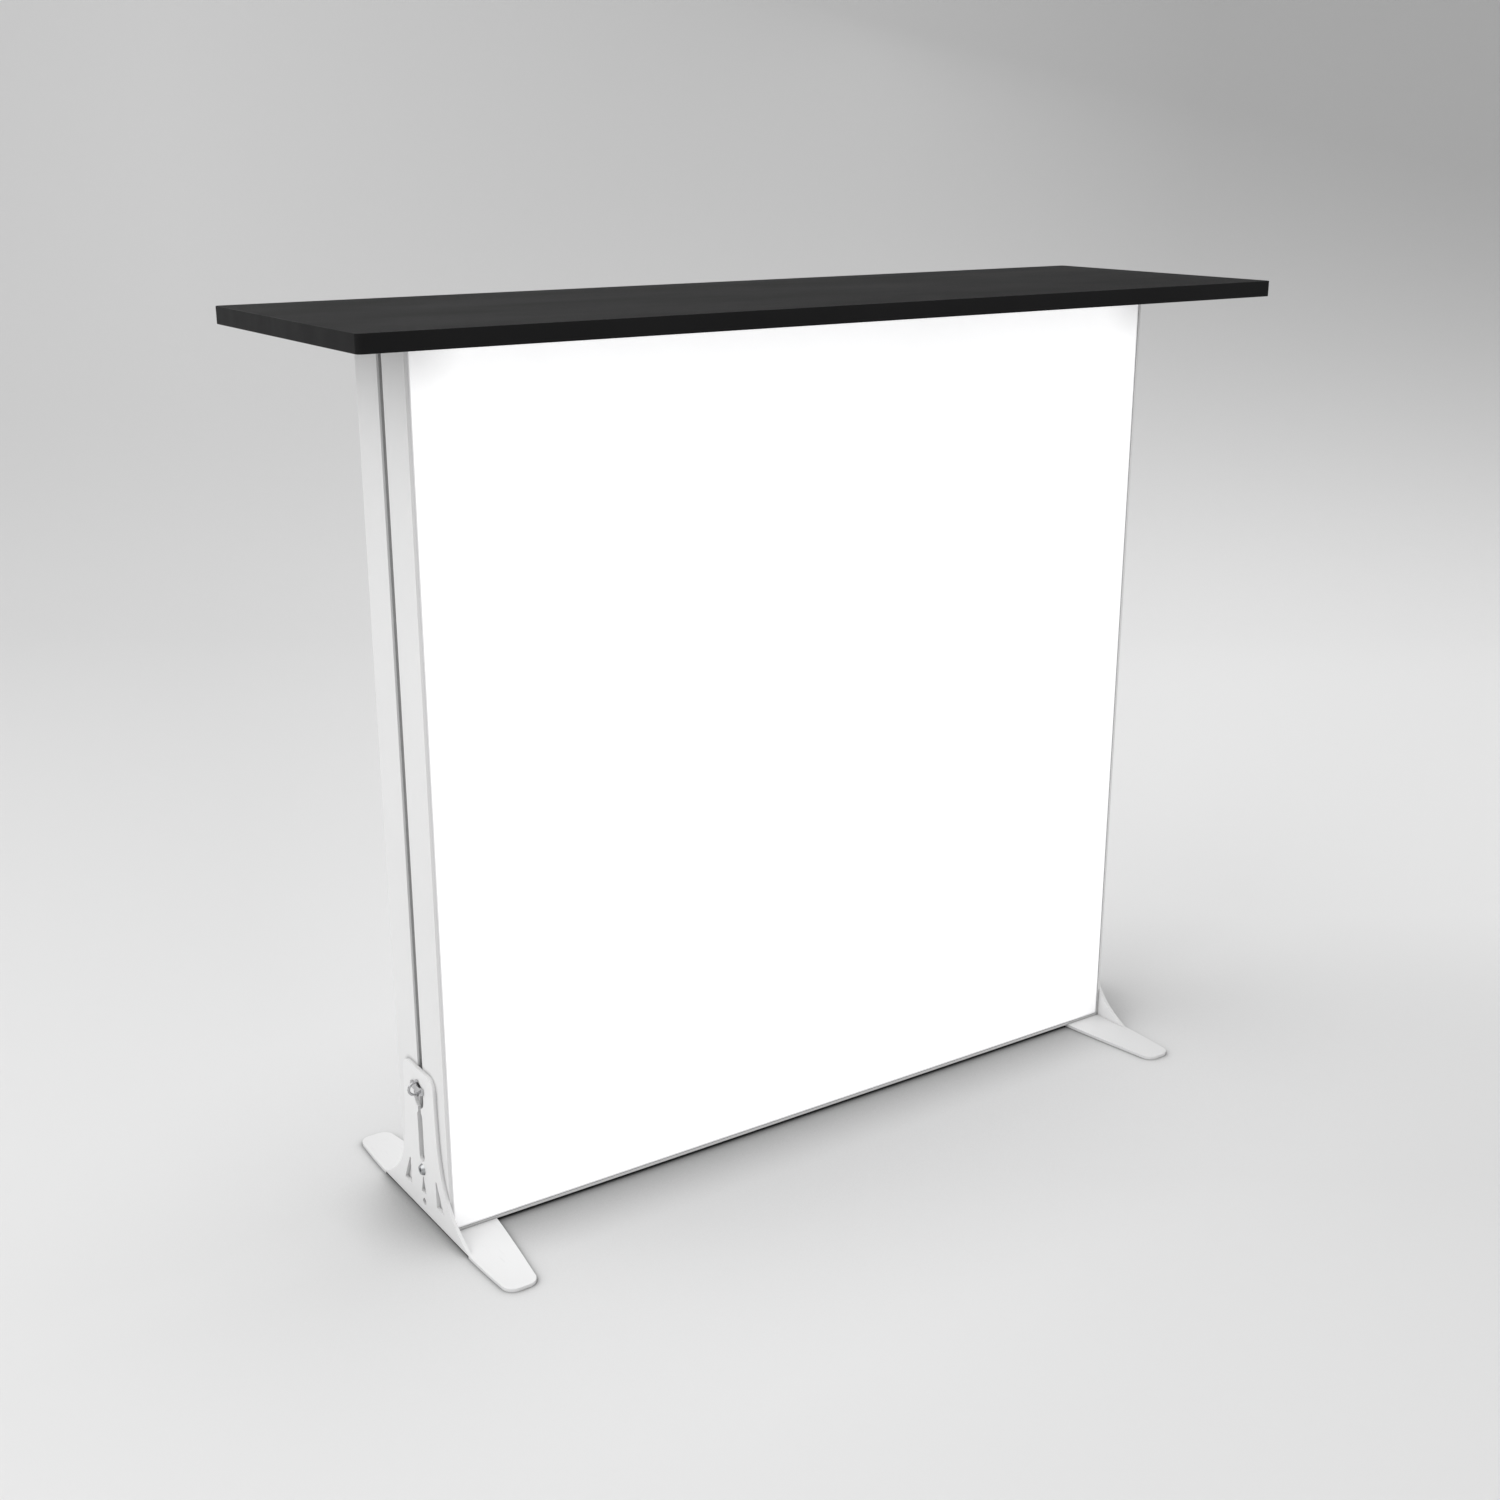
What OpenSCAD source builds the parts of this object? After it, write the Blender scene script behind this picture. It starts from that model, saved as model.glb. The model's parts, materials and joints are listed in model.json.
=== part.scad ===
/* [Light box] */
// Width of the light box over its two side posts
box_w = 1000; // [700:10:1600]
// Height of the light box without feet and counter top
box_h = 990; // [700:10:1300]
// Depth of the light box from its front face to its back face
box_d = 120; // [112:1:170]
// Thickness of the stretched fabric
fabric_t = 0.5; // [0.3:0.1:0.9]

/* [Frame profile] */
// Thickness of the profile from its outer face to its inner face
rail_t = 32; // [29:1:45]
// Thickness of the profile's walls
wall_t = 1.8; // [1.4:0.1:2.4]
// Width of the lip that frames the fabric
lip_w = 3.2; // [1.8:0.1:5]
// Width of the channel that takes the fabric's edge strip
channel_w = 3.4; // [3:0.1:4.5]
// Depth of the channel that takes the fabric's edge strip
channel_depth = 14.5; // [12:0.5:18]
// Play between the edge strip and the walls of its channel
strip_play = 0.2; // [0.1:0.05:0.4]
// Width of the mouth of the T-groove in the outer face
groove_w = 12.6; // [11:0.2:15]
// Thickness of the two lips of the T-groove
groove_lip = 2.5; // [2:0.1:3.5]
// How far the T-groove runs in behind each of its lips
groove_undercut = 3.7; // [3:0.1:5]
// Depth of the T-groove behind its lips
groove_depth = 8; // [7.5:0.1:10]
// Side of the square chamber that holds the corner brackets
chamber_d = 20; // [16:0.5:22]

/* [Corner brackets] */
// Length of each arm of a corner bracket
bracket_arm = 70; // [60:1:110]
// Play between a corner bracket and its chamber
bracket_play = 0.2; // [0.1:0.05:0.4]
// Thread diameter of the screws that clamp the corner brackets
corner_screw_d = 6; // [4:0.5:8]

/* [Counter top] */
// Length of the counter top
top_l = 1196; // [1060:2:1800]
// Depth of the counter top
top_d = 368; // [200:2:480]
// Thickness of the counter top
top_t = 18.5; // [16:0.5:40]
// How far the counter top is set back from the middle of the box
top_back = 4; // [0:1:20]
// Radius of the counter top's four corners
top_corner_r = 5.5; // [3:0.5:40]
// Thickness of the laminate on both faces of the counter top
laminate_t = 0.6; // [0.4:0.1:1.2]
// Thickness of the edge band round the counter top
band_t = 1; // [0.5:0.1:2]
// Number of bolts that hold the counter top
top_bolts_n = 4; // [2:1:6]
// Thread diameter of those bolts
top_bolt_d = 6; // [5:0.5:8]
// Length of the threaded inserts in the board
insert_l = 13; // [9:0.5:14]
// Outer diameter of the threaded inserts
insert_d = 10; // [9.5:0.5:12]

/* [Feet] */
// Thickness of the steel plate that the feet are bent from
foot_t = 4; // [3:0.5:6]
// Length of a foot from the front toe to the back toe
foot_l = 396; // [330:2:600]
// Width of a foot under the box, flange included
foot_w = 62; // [50:1:90]
// Width of a foot's toes
toe_w = 41.5; // [34:0.5:48]
// Radius of the corners of the toes
toe_r = 14; // [6:1:16]
// How far the outer edge draws in towards the toes
toe_draw = 4.5; // [0:0.5:8]
// Height of the upright flange above the box's underside
flange_h = 182; // [178:1:230]
// Width of the upright flange at its top
flange_w = 78; // [60:2:100]
// How much wider on each side the flange is at the fold
flange_flare = 72; // [40:1:90]
// Height over which that flare dies away
flare_h = 33; // [25:1:60]
// Radius of the flange's shoulders
shoulder_r = 14; // [6:1:24]
// Width of the opening that the lock goes through
lock_hole_w = 24; // [20:1:28]
// Height of the opening that the lock goes through
lock_hole_h = 33; // [30:1:38]
// Height of the middle of that opening above the box's underside
lock_hole_z = 149; // [146:1:154]
// Width of the long slot below the opening
slot_w = 13; // [10:0.5:16]
// Height of the slot's lower end above the box's underside
slot_low_z = 64; // [62:1:80]
// Height of the slot's upper end above the box's underside
slot_high_z = 128; // [110:1:130]
// Width of the neck between the slot and the opening
neck_w = 7; // [4:0.5:9]
// Height of the foot's screw above the box's underside
foot_screw_z = 54; // [52:1:55]
// Thread diameter of the foot's screw
foot_screw_d = 8; // [6:0.5:8]

/* [Foot locks] */
// Height of the lock above the box's underside
lock_z = 158; // [156:0.5:160]
// Diameter of the lock's stem
stem_d = 8; // [6:0.5:9]
// Length of the bar that bears on the flange
lock_bar_l = 30; // [28:1:40]
// Height of that bar
lock_bar_w = 8; // [6:0.5:10]
// Thickness of that bar
lock_bar_t = 2.5; // [2:0.5:5]
// Radius of the lock's ring to the middle of its wire
ring_r = 7.5; // [7:0.5:12]
// Thickness of the ring's wire
ring_wire = 3; // [2:0.5:4]
// Thickness of the hammer head inside the groove
hammer_t = 4; // [3:0.5:5]
// Height of the hammer head, which has to pass the groove's mouth
hammer_w = 8; // [6:0.5:10]
// Gap that lets the lock turn
lock_gap = 0.35; // [0.3:0.05:0.5]

/* [Lighting] */
// Width of the channel that carries the lamps
led_bar_w = 26; // [22:1:34]
// Depth of that channel
led_bar_t = 8; // [6:0.5:12]
// Wall of that channel
led_bar_wall = 1.5; // [1:0.1:2]
// Distance of that channel from the rails
led_bar_gap = 30; // [26:1:60]
// Thickness of the lamp boards
led_board_t = 1.6; // [1:0.1:2.5]
// Distance from one lamp to the next
led_pitch = 60; // [40:2:120]
// Diameter of a lamp's lens
lens_d = 13; // [9:0.5:15]
// Length of the power supply
pack_l = 180; // [140:5:230]
// Width of the power supply
pack_w = 61; // [50:1:68]
// Height of the power supply
pack_h = 36; // [34:1:50]
// Distance of the power supply from the right post
pack_inset = 155; // [120:5:230]
// Diameter of the mains lead inside the box
mains_lead_d = 5.5; // [5:0.5:7]
// Diameter of the low-voltage leads inside the box
lamp_lead_d = 4; // [3:0.5:5]

/* [Inlet and switch] */
// Height of the power inlet's middle above the box's underside
inlet_z = 270; // [255:5:400]
// Width of the power inlet's housing
inlet_w = 20; // [19:0.5:21]
// Height of the power inlet's housing
inlet_h = 27; // [26:0.5:29]
// Distance from the inlet's middle up to the switch's middle
switch_rise = 50; // [38:1:90]
// Width of the switch's housing
switch_w = 13; // [12:0.5:15]
// Height of the switch's housing
switch_h = 19; // [18:0.5:22]
// Angle that the switch rocks through
rock_angle = 16; // [10:1:18]

/* [Hidden] */
$fn = 48;
eps = 0.01;

// Heights, counted from the floor
box_z0 = foot_t;
box_z1 = box_z0 + box_h;
inner_z0 = box_z0 + rail_t;
inner_z1 = box_z1 - rail_t;
half_w = box_w / 2;
half_d = box_d / 2;

// Places in the profile: p runs in from the outer face, q runs from the middle to the fabric
channel_p = lip_w;
fabric_inset = 0.1;
seat_q = half_d - fabric_t - fabric_inset;
channel_floor_q = half_d - channel_depth;
chamber_p0 = channel_p + channel_w + wall_t;
chamber_p1 = rail_t - wall_t;
chamber_p = (chamber_p0 + chamber_p1) / 2;
chamber_q1 = seat_q - wall_t;
chamber_q0 = chamber_q1 - chamber_d;
groove_cavity = groove_w + 2 * groove_undercut;
groove_floor_p = groove_lip + groove_depth;
void_q0 = groove_cavity / 2 + wall_t;
void_q1 = chamber_q0 - wall_t;
void_q = (void_q0 + void_q1) / 2;

// Bores are this much wider than the thread or pin in them
thread_fit = 0.1;
screw_play = 0.5;

// Places along the frame
corner_screw_at = (chamber_p1 + bracket_arm) / 2;
bolt_inset = 100;
bolt_spread = box_w - 2 * (rail_t + bolt_inset);
bolt_xs = [for (i = [0:top_bolts_n - 1]) bolt_spread * (i / (top_bolts_n - 1) - 0.5)];

// One half of the profile's hollows, on the side of one fabric
module profile_hollows() {
  translate([channel_p, channel_floor_q])
    square([channel_w, channel_depth + 1]);
  translate([chamber_p0, chamber_q0])
    square([chamber_p1 - chamber_p0, chamber_d]);
  translate([wall_t, void_q0])
    square([rail_t - 2 * wall_t, void_q1 - void_q0]);
  translate([wall_t, void_q1 - eps])
    square([channel_p + channel_w - wall_t, channel_floor_q - wall_t - void_q1 + eps]);
}

// Section of the extruded profile: T-groove, hollows, and a fabric channel on both sides
module profile_section() {
  difference() {
    union() {
      translate([0, -half_d])
        square([lip_w, box_d]);
      translate([0, -seat_q])
        square([rail_t, 2 * seat_q]);
    }
    translate([-1, -groove_w / 2])
      square([groove_lip + 1 + eps, groove_w]);
    translate([groove_lip, -groove_cavity / 2])
      square([groove_depth, groove_cavity]);
    translate([groove_floor_p + wall_t, -groove_cavity / 2])
      square([rail_t - groove_floor_p - 2 * wall_t, groove_cavity]);
    for (side = [0, 1])
      mirror([0, side])
        profile_hollows();
  }
}

// A length of profile along Z with its outer face at X = 0 and both ends mitred
module profile_length(l) {
  intersection() {
    linear_extrude(l)
      profile_section();
    rotate([90, 0, 0])
      linear_extrude(box_d + 2, center = true)
        polygon([[-1, -1], [rail_t + 1, rail_t + 1], [rail_t + 1, l - rail_t - 1], [-1, l + 1]]);
  }
}

// Holes through both fabric seats that a key reaches the corner screws by
module corner_key_holes(l) {
  for (z = [corner_screw_at, l - corner_screw_at])
    for (side = [-1, 1])
      translate([chamber_p, side * (seat_q + 1), z])
        rotate([side * 90, 0, 0])
          cylinder(d = corner_screw_d + 1, h = wall_t + 2);
}

// Placing: a side post stands on the left, and the right one is its mirror image
module on_left_post() {
  translate([-half_w, 0, box_z0])
    children();
}

module on_bottom_rail() {
  translate([half_w, 0, box_z0])
    rotate([0, -90, 0])
      children();
}

module mirrored_up() {
  translate([0, 0, box_z0 + box_z1])
    mirror([0, 0, 1])
      children();
}

module led_screw_holes() {
  for (z = led_screw_zs)
    translate([rail_t - wall_t - 1, 0, z - box_z0])
      rotate([0, 90, 0])
        cylinder(d = led_screw_d + screw_play, h = wall_t + 2);
}

module post() {
  difference() {
    profile_length(box_h);
    corner_key_holes(box_h);
    led_screw_holes();
  }
}

module left_post() {
  color("whitesmoke")
    on_left_post()
      post();
}

module right_post() {
  color("whitesmoke")
    mirror([1, 0, 0])
      on_left_post()
        difference() {
          post();
          translate([-1, void_q - (inlet_w + screw_play) / 2, inlet_z - (inlet_h + screw_play) / 2])
            cube([wall_t + 2, inlet_w + screw_play, inlet_h + screw_play]);
          translate([-1, void_q - (switch_w + screw_play) / 2, switch_z - (switch_h + screw_play) / 2])
            cube([wall_t + 2, switch_w + screw_play, switch_h + screw_play]);
          for (s = [-1, 1])
            translate([-1, void_q, inlet_z + s * inlet_screw_rise])
              rotate([0, 90, 0])
                cylinder(d = inlet_screw_d + thread_fit, h = wall_t + 2);
          translate([rail_t - wall_t - 1, void_q, grommet_z])
            rotate([0, 90, 0])
              cylinder(d = grommet_hole_d, h = wall_t + 2);
        }
}

module bottom_rail() {
  color("whitesmoke")
    difference() {
      on_bottom_rail()
        difference() {
          profile_length(box_w);
          corner_key_holes(box_w);
        }
      for (x = pack_screw_xs)
        translate([x, 0, inner_z0 - wall_t - 1])
          cylinder(d = pack_screw_d + thread_fit, h = wall_t + 2);
    }
}

module top_rail() {
  color("whitesmoke")
    difference() {
      mirrored_up()
        on_bottom_rail()
          difference() {
            profile_length(box_w);
            corner_key_holes(box_w);
          }
      for (x = bolt_xs)
        translate([x, 0, inner_z1 - 1])
          cylinder(d = top_bolt_d + screw_play, h = rail_t);
    }
}

// Two cast angles, one in each chamber, drawn for the lower left corner
module corner_bracket() {
  p0 = chamber_p0 + bracket_play;
  p1 = chamber_p1 - bracket_play;
  tip = 2;
  heel = 3;
  for (side = [0, 1])
    mirror([0, side, 0])
      translate([-half_w, chamber_q1 - bracket_play, box_z0])
        rotate([90, 0, 0])
          difference() {
            linear_extrude(chamber_d - 2 * bracket_play)
              polygon([
                [p0, p0 + heel], [p0 + heel, p0], [bracket_arm - tip, p0], [bracket_arm, p0 + tip],
                [bracket_arm, p1 - tip], [bracket_arm - tip, p1], [p1, p1], [p1, bracket_arm - tip],
                [p1 - tip, bracket_arm], [p0 + tip, bracket_arm], [p0, bracket_arm - tip]
              ]);
            for (at = [[corner_screw_at, chamber_p], [chamber_p, corner_screw_at]])
              translate([at.x, at.y, -1])
                cylinder(d = corner_screw_d + thread_fit, h = chamber_d + 2);
          }
}

module corner_bracket_bottom_left() {
  color("silver")
    corner_bracket();
}

module corner_bracket_bottom_right() {
  color("silver")
    mirror([1, 0, 0])
      corner_bracket();
}

module corner_bracket_top_left() {
  color("silver")
    mirrored_up()
      corner_bracket();
}

module corner_bracket_top_right() {
  color("silver")
    mirrored_up()
      mirror([1, 0, 0])
        corner_bracket();
}

// Headless screw along Z with a hexagon socket in its near end
module grub_screw(d, l) {
  difference() {
    cylinder(d = d, h = l);
    translate([0, 0, -eps])
      cylinder(d = d / 2, h = d / 2, $fn = 6);
  }
}

module corner_screws() {
  l = chamber_d - 2 * bracket_play;
  color("dimgray")
    for (up = [0, 1], right = [0, 1], back = [0, 1])
      translate([0, 0, up * (box_z0 + box_z1)])
        mirror([0, 0, up])
          mirror([right, 0, 0])
            mirror([0, back, 0])
              for (at = [[corner_screw_at, chamber_p], [chamber_p, corner_screw_at]])
                translate([at.x - half_w, chamber_q1 - bracket_play, at.y + box_z0])
                  rotate([90, 0, 0])
                    grub_screw(corner_screw_d, l + bracket_play);
}

// Fabric stretched over the seats, drawn for the back and turned to the front
fabric_w = box_w - 2 * lip_w - 2 * strip_play;
fabric_h = box_h - 2 * lip_w - 2 * strip_play;

module fabric() {
  translate([-fabric_w / 2, seat_q, (box_z0 + box_z1 - fabric_h) / 2])
    cube([fabric_w, fabric_t, fabric_h]);
}

module back_fabric() {
  color("white")
    fabric();
}

module front_fabric() {
  color("white")
    mirror([0, 1, 0])
      fabric();
}

// Four lengths of silicone strip, sewn to the fabric's edges and pressed into the channels
module edge_strip() {
  strip = channel_w - 2 * strip_play;
  depth = seat_q - channel_floor_q - strip_play;
  long = box_w - 2 * (channel_p + strip_play);
  tall = box_h - 2 * (channel_p + channel_w + strip_play);
  side_x = half_w - channel_p - channel_w / 2;
  for (z = [box_z0 + channel_p + strip_play, box_z1 - channel_p - strip_play - strip])
    translate([-long / 2, seat_q - depth, z])
      cube([long, depth, strip]);
  for (side = [-1, 1])
    translate([side * side_x - strip / 2, seat_q - depth, (box_z0 + box_z1 - tall) / 2])
      cube([strip, depth, tall]);
}

module back_edge_strip() {
  color("gainsboro")
    edge_strip();
}

module front_edge_strip() {
  color("gainsboro")
    mirror([0, 1, 0])
      edge_strip();
}

// Plate with four round corners, its middle at the origin
module round_plate(l, d, r) {
  square([l - 2 * r, d], center = true);
  square([l, d - 2 * r], center = true);
  for (x = [-1, 1], y = [-1, 1])
    translate([x * (l / 2 - r), y * (d / 2 - r)])
      circle(r, $fn = 64);
}

core_t = top_t - 2 * laminate_t;
core_z = box_z1 + laminate_t;

module board_outline() {
  round_plate(top_l - 2 * band_t, top_d - 2 * band_t, top_corner_r - band_t);
}

module top_board() {
  color("peru")
    translate([0, top_back, core_z])
      difference() {
        linear_extrude(core_t)
          board_outline();
        for (x = bolt_xs)
          translate([x, -top_back, -1])
            cylinder(d = insert_d, h = insert_l + 1);
      }
}

module top_laminate() {
  color([0.1, 0.1, 0.1])
    translate([0, top_back, core_z + core_t])
      linear_extrude(laminate_t)
        board_outline();
}

module underside_laminate() {
  color([0.1, 0.1, 0.1])
    translate([0, top_back, box_z1])
      difference() {
        linear_extrude(laminate_t)
          board_outline();
        for (x = bolt_xs)
          translate([x, -top_back, -1])
            cylinder(d = insert_d, h = laminate_t + 2);
      }
}

module edge_band() {
  color([0.08, 0.08, 0.08])
    translate([0, top_back, box_z1])
      linear_extrude(top_t)
        difference() {
          round_plate(top_l, top_d, top_corner_r);
          board_outline();
        }
}

module top_inserts() {
  color("goldenrod")
    for (x = bolt_xs)
      translate([x, 0, core_z])
        difference() {
          cylinder(d = insert_d, h = insert_l);
          translate([0, 0, -1])
            cylinder(d = top_bolt_d + thread_fit, h = insert_l + 2);
        }
}

bolt_washer_t = 1.6;
bolt_reach = rail_t + laminate_t + insert_l - 1;

module top_washers() {
  color("silver")
    for (x = bolt_xs)
      translate([x, 0, inner_z1 - bolt_washer_t])
        difference() {
          cylinder(d = 2.2 * top_bolt_d, h = bolt_washer_t);
          translate([0, 0, -1])
            cylinder(d = top_bolt_d + screw_play, h = bolt_washer_t + 2);
        }
}

// Socket-head bolt along Z, with its head below the origin
module cap_bolt(d, l) {
  cylinder(d = d, h = l);
  difference() {
    translate([0, 0, -d])
      cylinder(d = 1.65 * d, h = d);
    translate([0, 0, -d - 1])
      cylinder(d = 0.95 * d, h = d / 2 + 1, $fn = 6);
  }
}

module top_bolts() {
  color("dimgray")
    for (x = bolt_xs)
      translate([x, 0, inner_z1 - bolt_washer_t])
        cap_bolt(top_bolt_d, bolt_reach + bolt_washer_t);
}

// Points of an arc of radius r that rounds corner b of a polygon between a and c
function corner_arc(a, b, c, r, n) =
  let (
    u = (a - b) / norm(a - b),
    v = (c - b) / norm(c - b),
    half = acos(u * v) / 2,
    centre = b + (u + v) / norm(u + v) * r / sin(half),
    first = b + u * r / tan(half) - centre,
    last = b + v * r / tan(half) - centre,
    from = atan2(first.y, first.x),
    turn = atan2(last.y, last.x) - from,
    sweep = turn > 180 ? turn - 360 : turn < -180 ? turn + 360 : turn
  )
  [for (i = [0:n]) centre + r * [cos(from + sweep * i / n), sin(from + sweep * i / n)]];

function rounded(points, r, n = 8) =
  let (count = len(points))
  [for (i = [0:count - 1])
    each corner_arc(points[(i + count - 1) % count], points[i], points[(i + 1) % count], r, n)];

function mirrored_y(points) = [for (i = [len(points) - 1:-1:0]) [points[i].x, -points[i].y]];
function mirrored_x(points) = [for (i = [len(points) - 1:-1:0]) [-points[i].x, points[i].y]];

// The foot's ground plate: distances in from the post's outer face, at y from the middle
toe_y = foot_l / 2;
waist_inset = 10;
waist_y = half_d - waist_inset;
inner_sweep = 1.15;
outer_sweep = 1.6;
shoulder_z = flange_h - shoulder_r;
function flange_half(z) =
  flange_w / 2 + flange_flare * (exp(-z / flare_h) - exp(-shoulder_z / flare_h));
fold_y = flange_half(0);
function inner_edge(y) =
  foot_w - foot_t - (foot_w - toe_w) * pow(max(0, y - waist_y) / (toe_y - waist_y), inner_sweep);
function outer_edge(y) =
  -foot_t + toe_draw * pow(max(0, y - fold_y) / (toe_y - fold_y), outer_sweep);

module ground_plate() {
  steps = 10;
  bend_y = toe_y - toe_r;
  inner = [for (i = [0:steps]) let (y = waist_y + (bend_y - waist_y) * i / steps) [inner_edge(y), y]];
  outer = [for (i = [steps:-1:0]) let (y = fold_y + (bend_y - fold_y) * i / steps) [outer_edge(y), y]];
  toe = concat(
    corner_arc(inner[steps], [inner_edge(toe_y), toe_y], [outer_edge(toe_y), toe_y], toe_r, 12),
    corner_arc([inner_edge(toe_y), toe_y], [outer_edge(toe_y), toe_y], outer[0], toe_r, 12)
  );
  back = concat([for (i = [0:steps - 1]) inner[i]], toe, [for (i = [1:steps]) outer[i]]);
  polygon(concat(back, mirrored_y(back)));
}

// Outline of the upright flange: x is the distance from the middle, y the height
module flange_outline() {
  steps = 28;
  side = [for (i = [0:steps]) let (z = shoulder_z * i / steps) [flange_half(z), z]];
  shoulder = [for (i = [1:12]) let (a = 90 * i / 12)
    [flange_w / 2 - shoulder_r + shoulder_r * cos(a), shoulder_z + shoulder_r * sin(a)]];
  right = concat([[fold_y, -foot_t]], side, shoulder);
  polygon(concat(right, mirrored_x(right)));
}

// Cut-outs of the flange: lock opening, slot, keel and windows, and a small hole over the fold
window_low_z = 20;
window_high_z = 58;
window_in = 33;
window_out = 52;
window_r = 1.2;
keel_low_z = 24;
keel_high_z = foot_screw_z - 7;
keel_half = 6;
keel_r = 0.8;
fold_hole_d = 9;
fold_hole_z = 12;

module upright_slot(w, low, high) {
  translate([-w / 2, low + w / 2])
    square([w, high - low - w]);
  for (z = [low + w / 2, high - w / 2])
    translate([0, z])
      circle(d = w);
}

module flange_cutouts() {
  upright_slot(lock_hole_w, lock_hole_z - lock_hole_h / 2, lock_hole_z + lock_hole_h / 2);
  upright_slot(slot_w, slot_low_z, slot_high_z);
  translate([-neck_w / 2, slot_high_z - slot_w / 2])
    square([neck_w, lock_hole_z - slot_high_z + slot_w / 2]);
  polygon(rounded([[-keel_half, keel_low_z], [keel_half, keel_low_z], [0, keel_high_z]], keel_r));
  translate([0, fold_hole_z])
    circle(d = fold_hole_d);
  for (side = [0, 1])
    mirror([side, 0])
      polygon(rounded(
        [[window_in, window_low_z], [window_out, window_low_z], [window_in, window_high_z]], window_r));
}

// Left foot: a plate cut to shape and folded up along the side of the box
module foot() {
  translate([-half_w, 0, 0])
    difference() {
      union() {
        linear_extrude(foot_t)
          ground_plate();
        translate([-foot_t, 0, foot_t])
          rotate([90, 0, 90])
            linear_extrude(foot_t)
              flange_outline();
      }
      translate([-foot_t - 1, 0, foot_t])
        rotate([90, 0, 90])
          linear_extrude(foot_t + 2)
            flange_cutouts();
      translate([-foot_t - 1, 0, foot_t + foot_screw_z])
        rotate([0, 90, 0])
          cylinder(d = foot_screw_d + screw_play, h = foot_t + 2);
      rotate([90, 0, 0])
        linear_extrude(2 * fold_y, center = true)
          difference() {
            translate([-foot_t - 1, -1])
              square(foot_t + 1);
            translate([0, foot_t])
              circle(foot_t);
          }
    }
}

module foot_left() {
  color("white")
    foot();
}

module foot_right() {
  color("white")
    mirror([1, 0, 0])
      foot();
}

// Flat-headed screw along X, from the flange's outer face into the nut in the groove
foot_head_t = 3.2;
foot_nut_t = 5.5;
nut_recess = 0.5;
nut_play = 0.2;

module foot_screw() {
  translate([-half_w - foot_t, 0, box_z0 + foot_screw_z])
    rotate([0, 90, 0]) {
      cylinder(d = foot_screw_d, h = foot_t + groove_lip + foot_nut_t);
      difference() {
        translate([0, 0, -foot_head_t])
          cylinder(d1 = 1.3 * foot_screw_d, d2 = 1.75 * foot_screw_d, h = foot_head_t);
        translate([0, 0, -foot_head_t - 1])
          cylinder(d = 0.7 * foot_screw_d, h = foot_head_t, $fn = 6);
      }
    }
}

module foot_screws() {
  color("silver")
    for (side = [0, 1])
      mirror([side, 0, 0])
        foot_screw();
}

// Nut with a shoulder in the groove's mouth and wings behind its lips
module foot_nut() {
  wing_w = groove_cavity - 5 * nut_play;
  translate([-half_w, 0, box_z0 + foot_screw_z])
    difference() {
      union() {
        translate([groove_lip, -wing_w / 2, -wing_w / 2])
          cube([foot_nut_t, wing_w, wing_w]);
        translate([nut_recess, nut_play - groove_w / 2, -wing_w / 2])
          cube([groove_lip - nut_recess + eps, groove_w - 2 * nut_play, wing_w]);
      }
      rotate([0, 90, 0])
        cylinder(d = foot_screw_d + thread_fit, h = groove_lip + foot_nut_t + 1);
    }
}

module foot_nuts() {
  color("dimgray")
    for (side = [0, 1])
      mirror([side, 0, 0])
        foot_nut();
}

// Quarter-turn lock on the left, in its locked place: bar and hammer head lie level
hammer_l = groove_cavity - 2 * lock_gap;
lock_bar_x = foot_t + lock_gap;
hammer_x = groove_lip + lock_gap;
ring_leg = 1;

// Flat piece with round ends that lies against a face at the given x, along Y
module lock_slab(x, l, w, t) {
  translate([x, 0, 0])
    rotate([0, 90, 0])
      linear_extrude(t)
        intersection() {
          circle(d = l);
          square([w, l + 2], center = true);
        }
}

module foot_lock() {
  bar_x = -lock_bar_x - lock_bar_t;
  ring_x = bar_x - ring_leg;
  rib_w = ring_wire + 1;
  rib_l = 2 * ring_r + ring_wire + 2;
  translate([-half_w, 0, box_z0 + lock_z]) {
    translate([bar_x + lock_bar_t / 2, 0, 0])
      rotate([0, 90, 0])
        cylinder(d = stem_d, h = hammer_x + hammer_t / 2 - bar_x - lock_bar_t / 2);
    lock_slab(hammer_x, hammer_l, hammer_w, hammer_t);
    lock_slab(bar_x, lock_bar_l, lock_bar_w, lock_bar_t);
    rotate([90, 0, 0])
      lock_slab(bar_x, rib_l, rib_w, lock_bar_t);
    for (side = [-1, 1])
      translate([ring_x, 0, side * ring_r])
        rotate([0, 90, 0])
          cylinder(d = ring_wire, h = ring_leg + lock_bar_t / 2, $fn = 32);
    translate([ring_x, 0, 0])
      rotate([90, -90, 0])
        rotate_extrude(angle = 180)
          translate([ring_r, 0])
            circle(d = ring_wire, $fn = 32);
  }
}

module foot_lock_left() {
  color("lightsteelblue")
    foot_lock();
}

module foot_lock_right() {
  color("lightsteelblue")
    mirror([1, 0, 0])
      foot_lock();
}

// Lamps: a channel on the inner face of each post, a board in it, and a row of lenses
bar_z0 = inner_z0 + led_bar_gap;
bar_l = inner_z1 - inner_z0 - 2 * led_bar_gap;
led_screw_d = 4;
screw_tip = 4;
led_screw_inset = 9;
led_screw_zs = [bar_z0 + led_screw_inset, bar_z0 + bar_l - led_screw_inset];
board_l = bar_l - 4 * led_screw_inset;
lens_n = floor((board_l - lens_d) / led_pitch) + 1;
lens_z0 = bar_z0 + (bar_l - (lens_n - 1) * led_pitch) / 2;
bar_x = half_w - rail_t;

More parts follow.
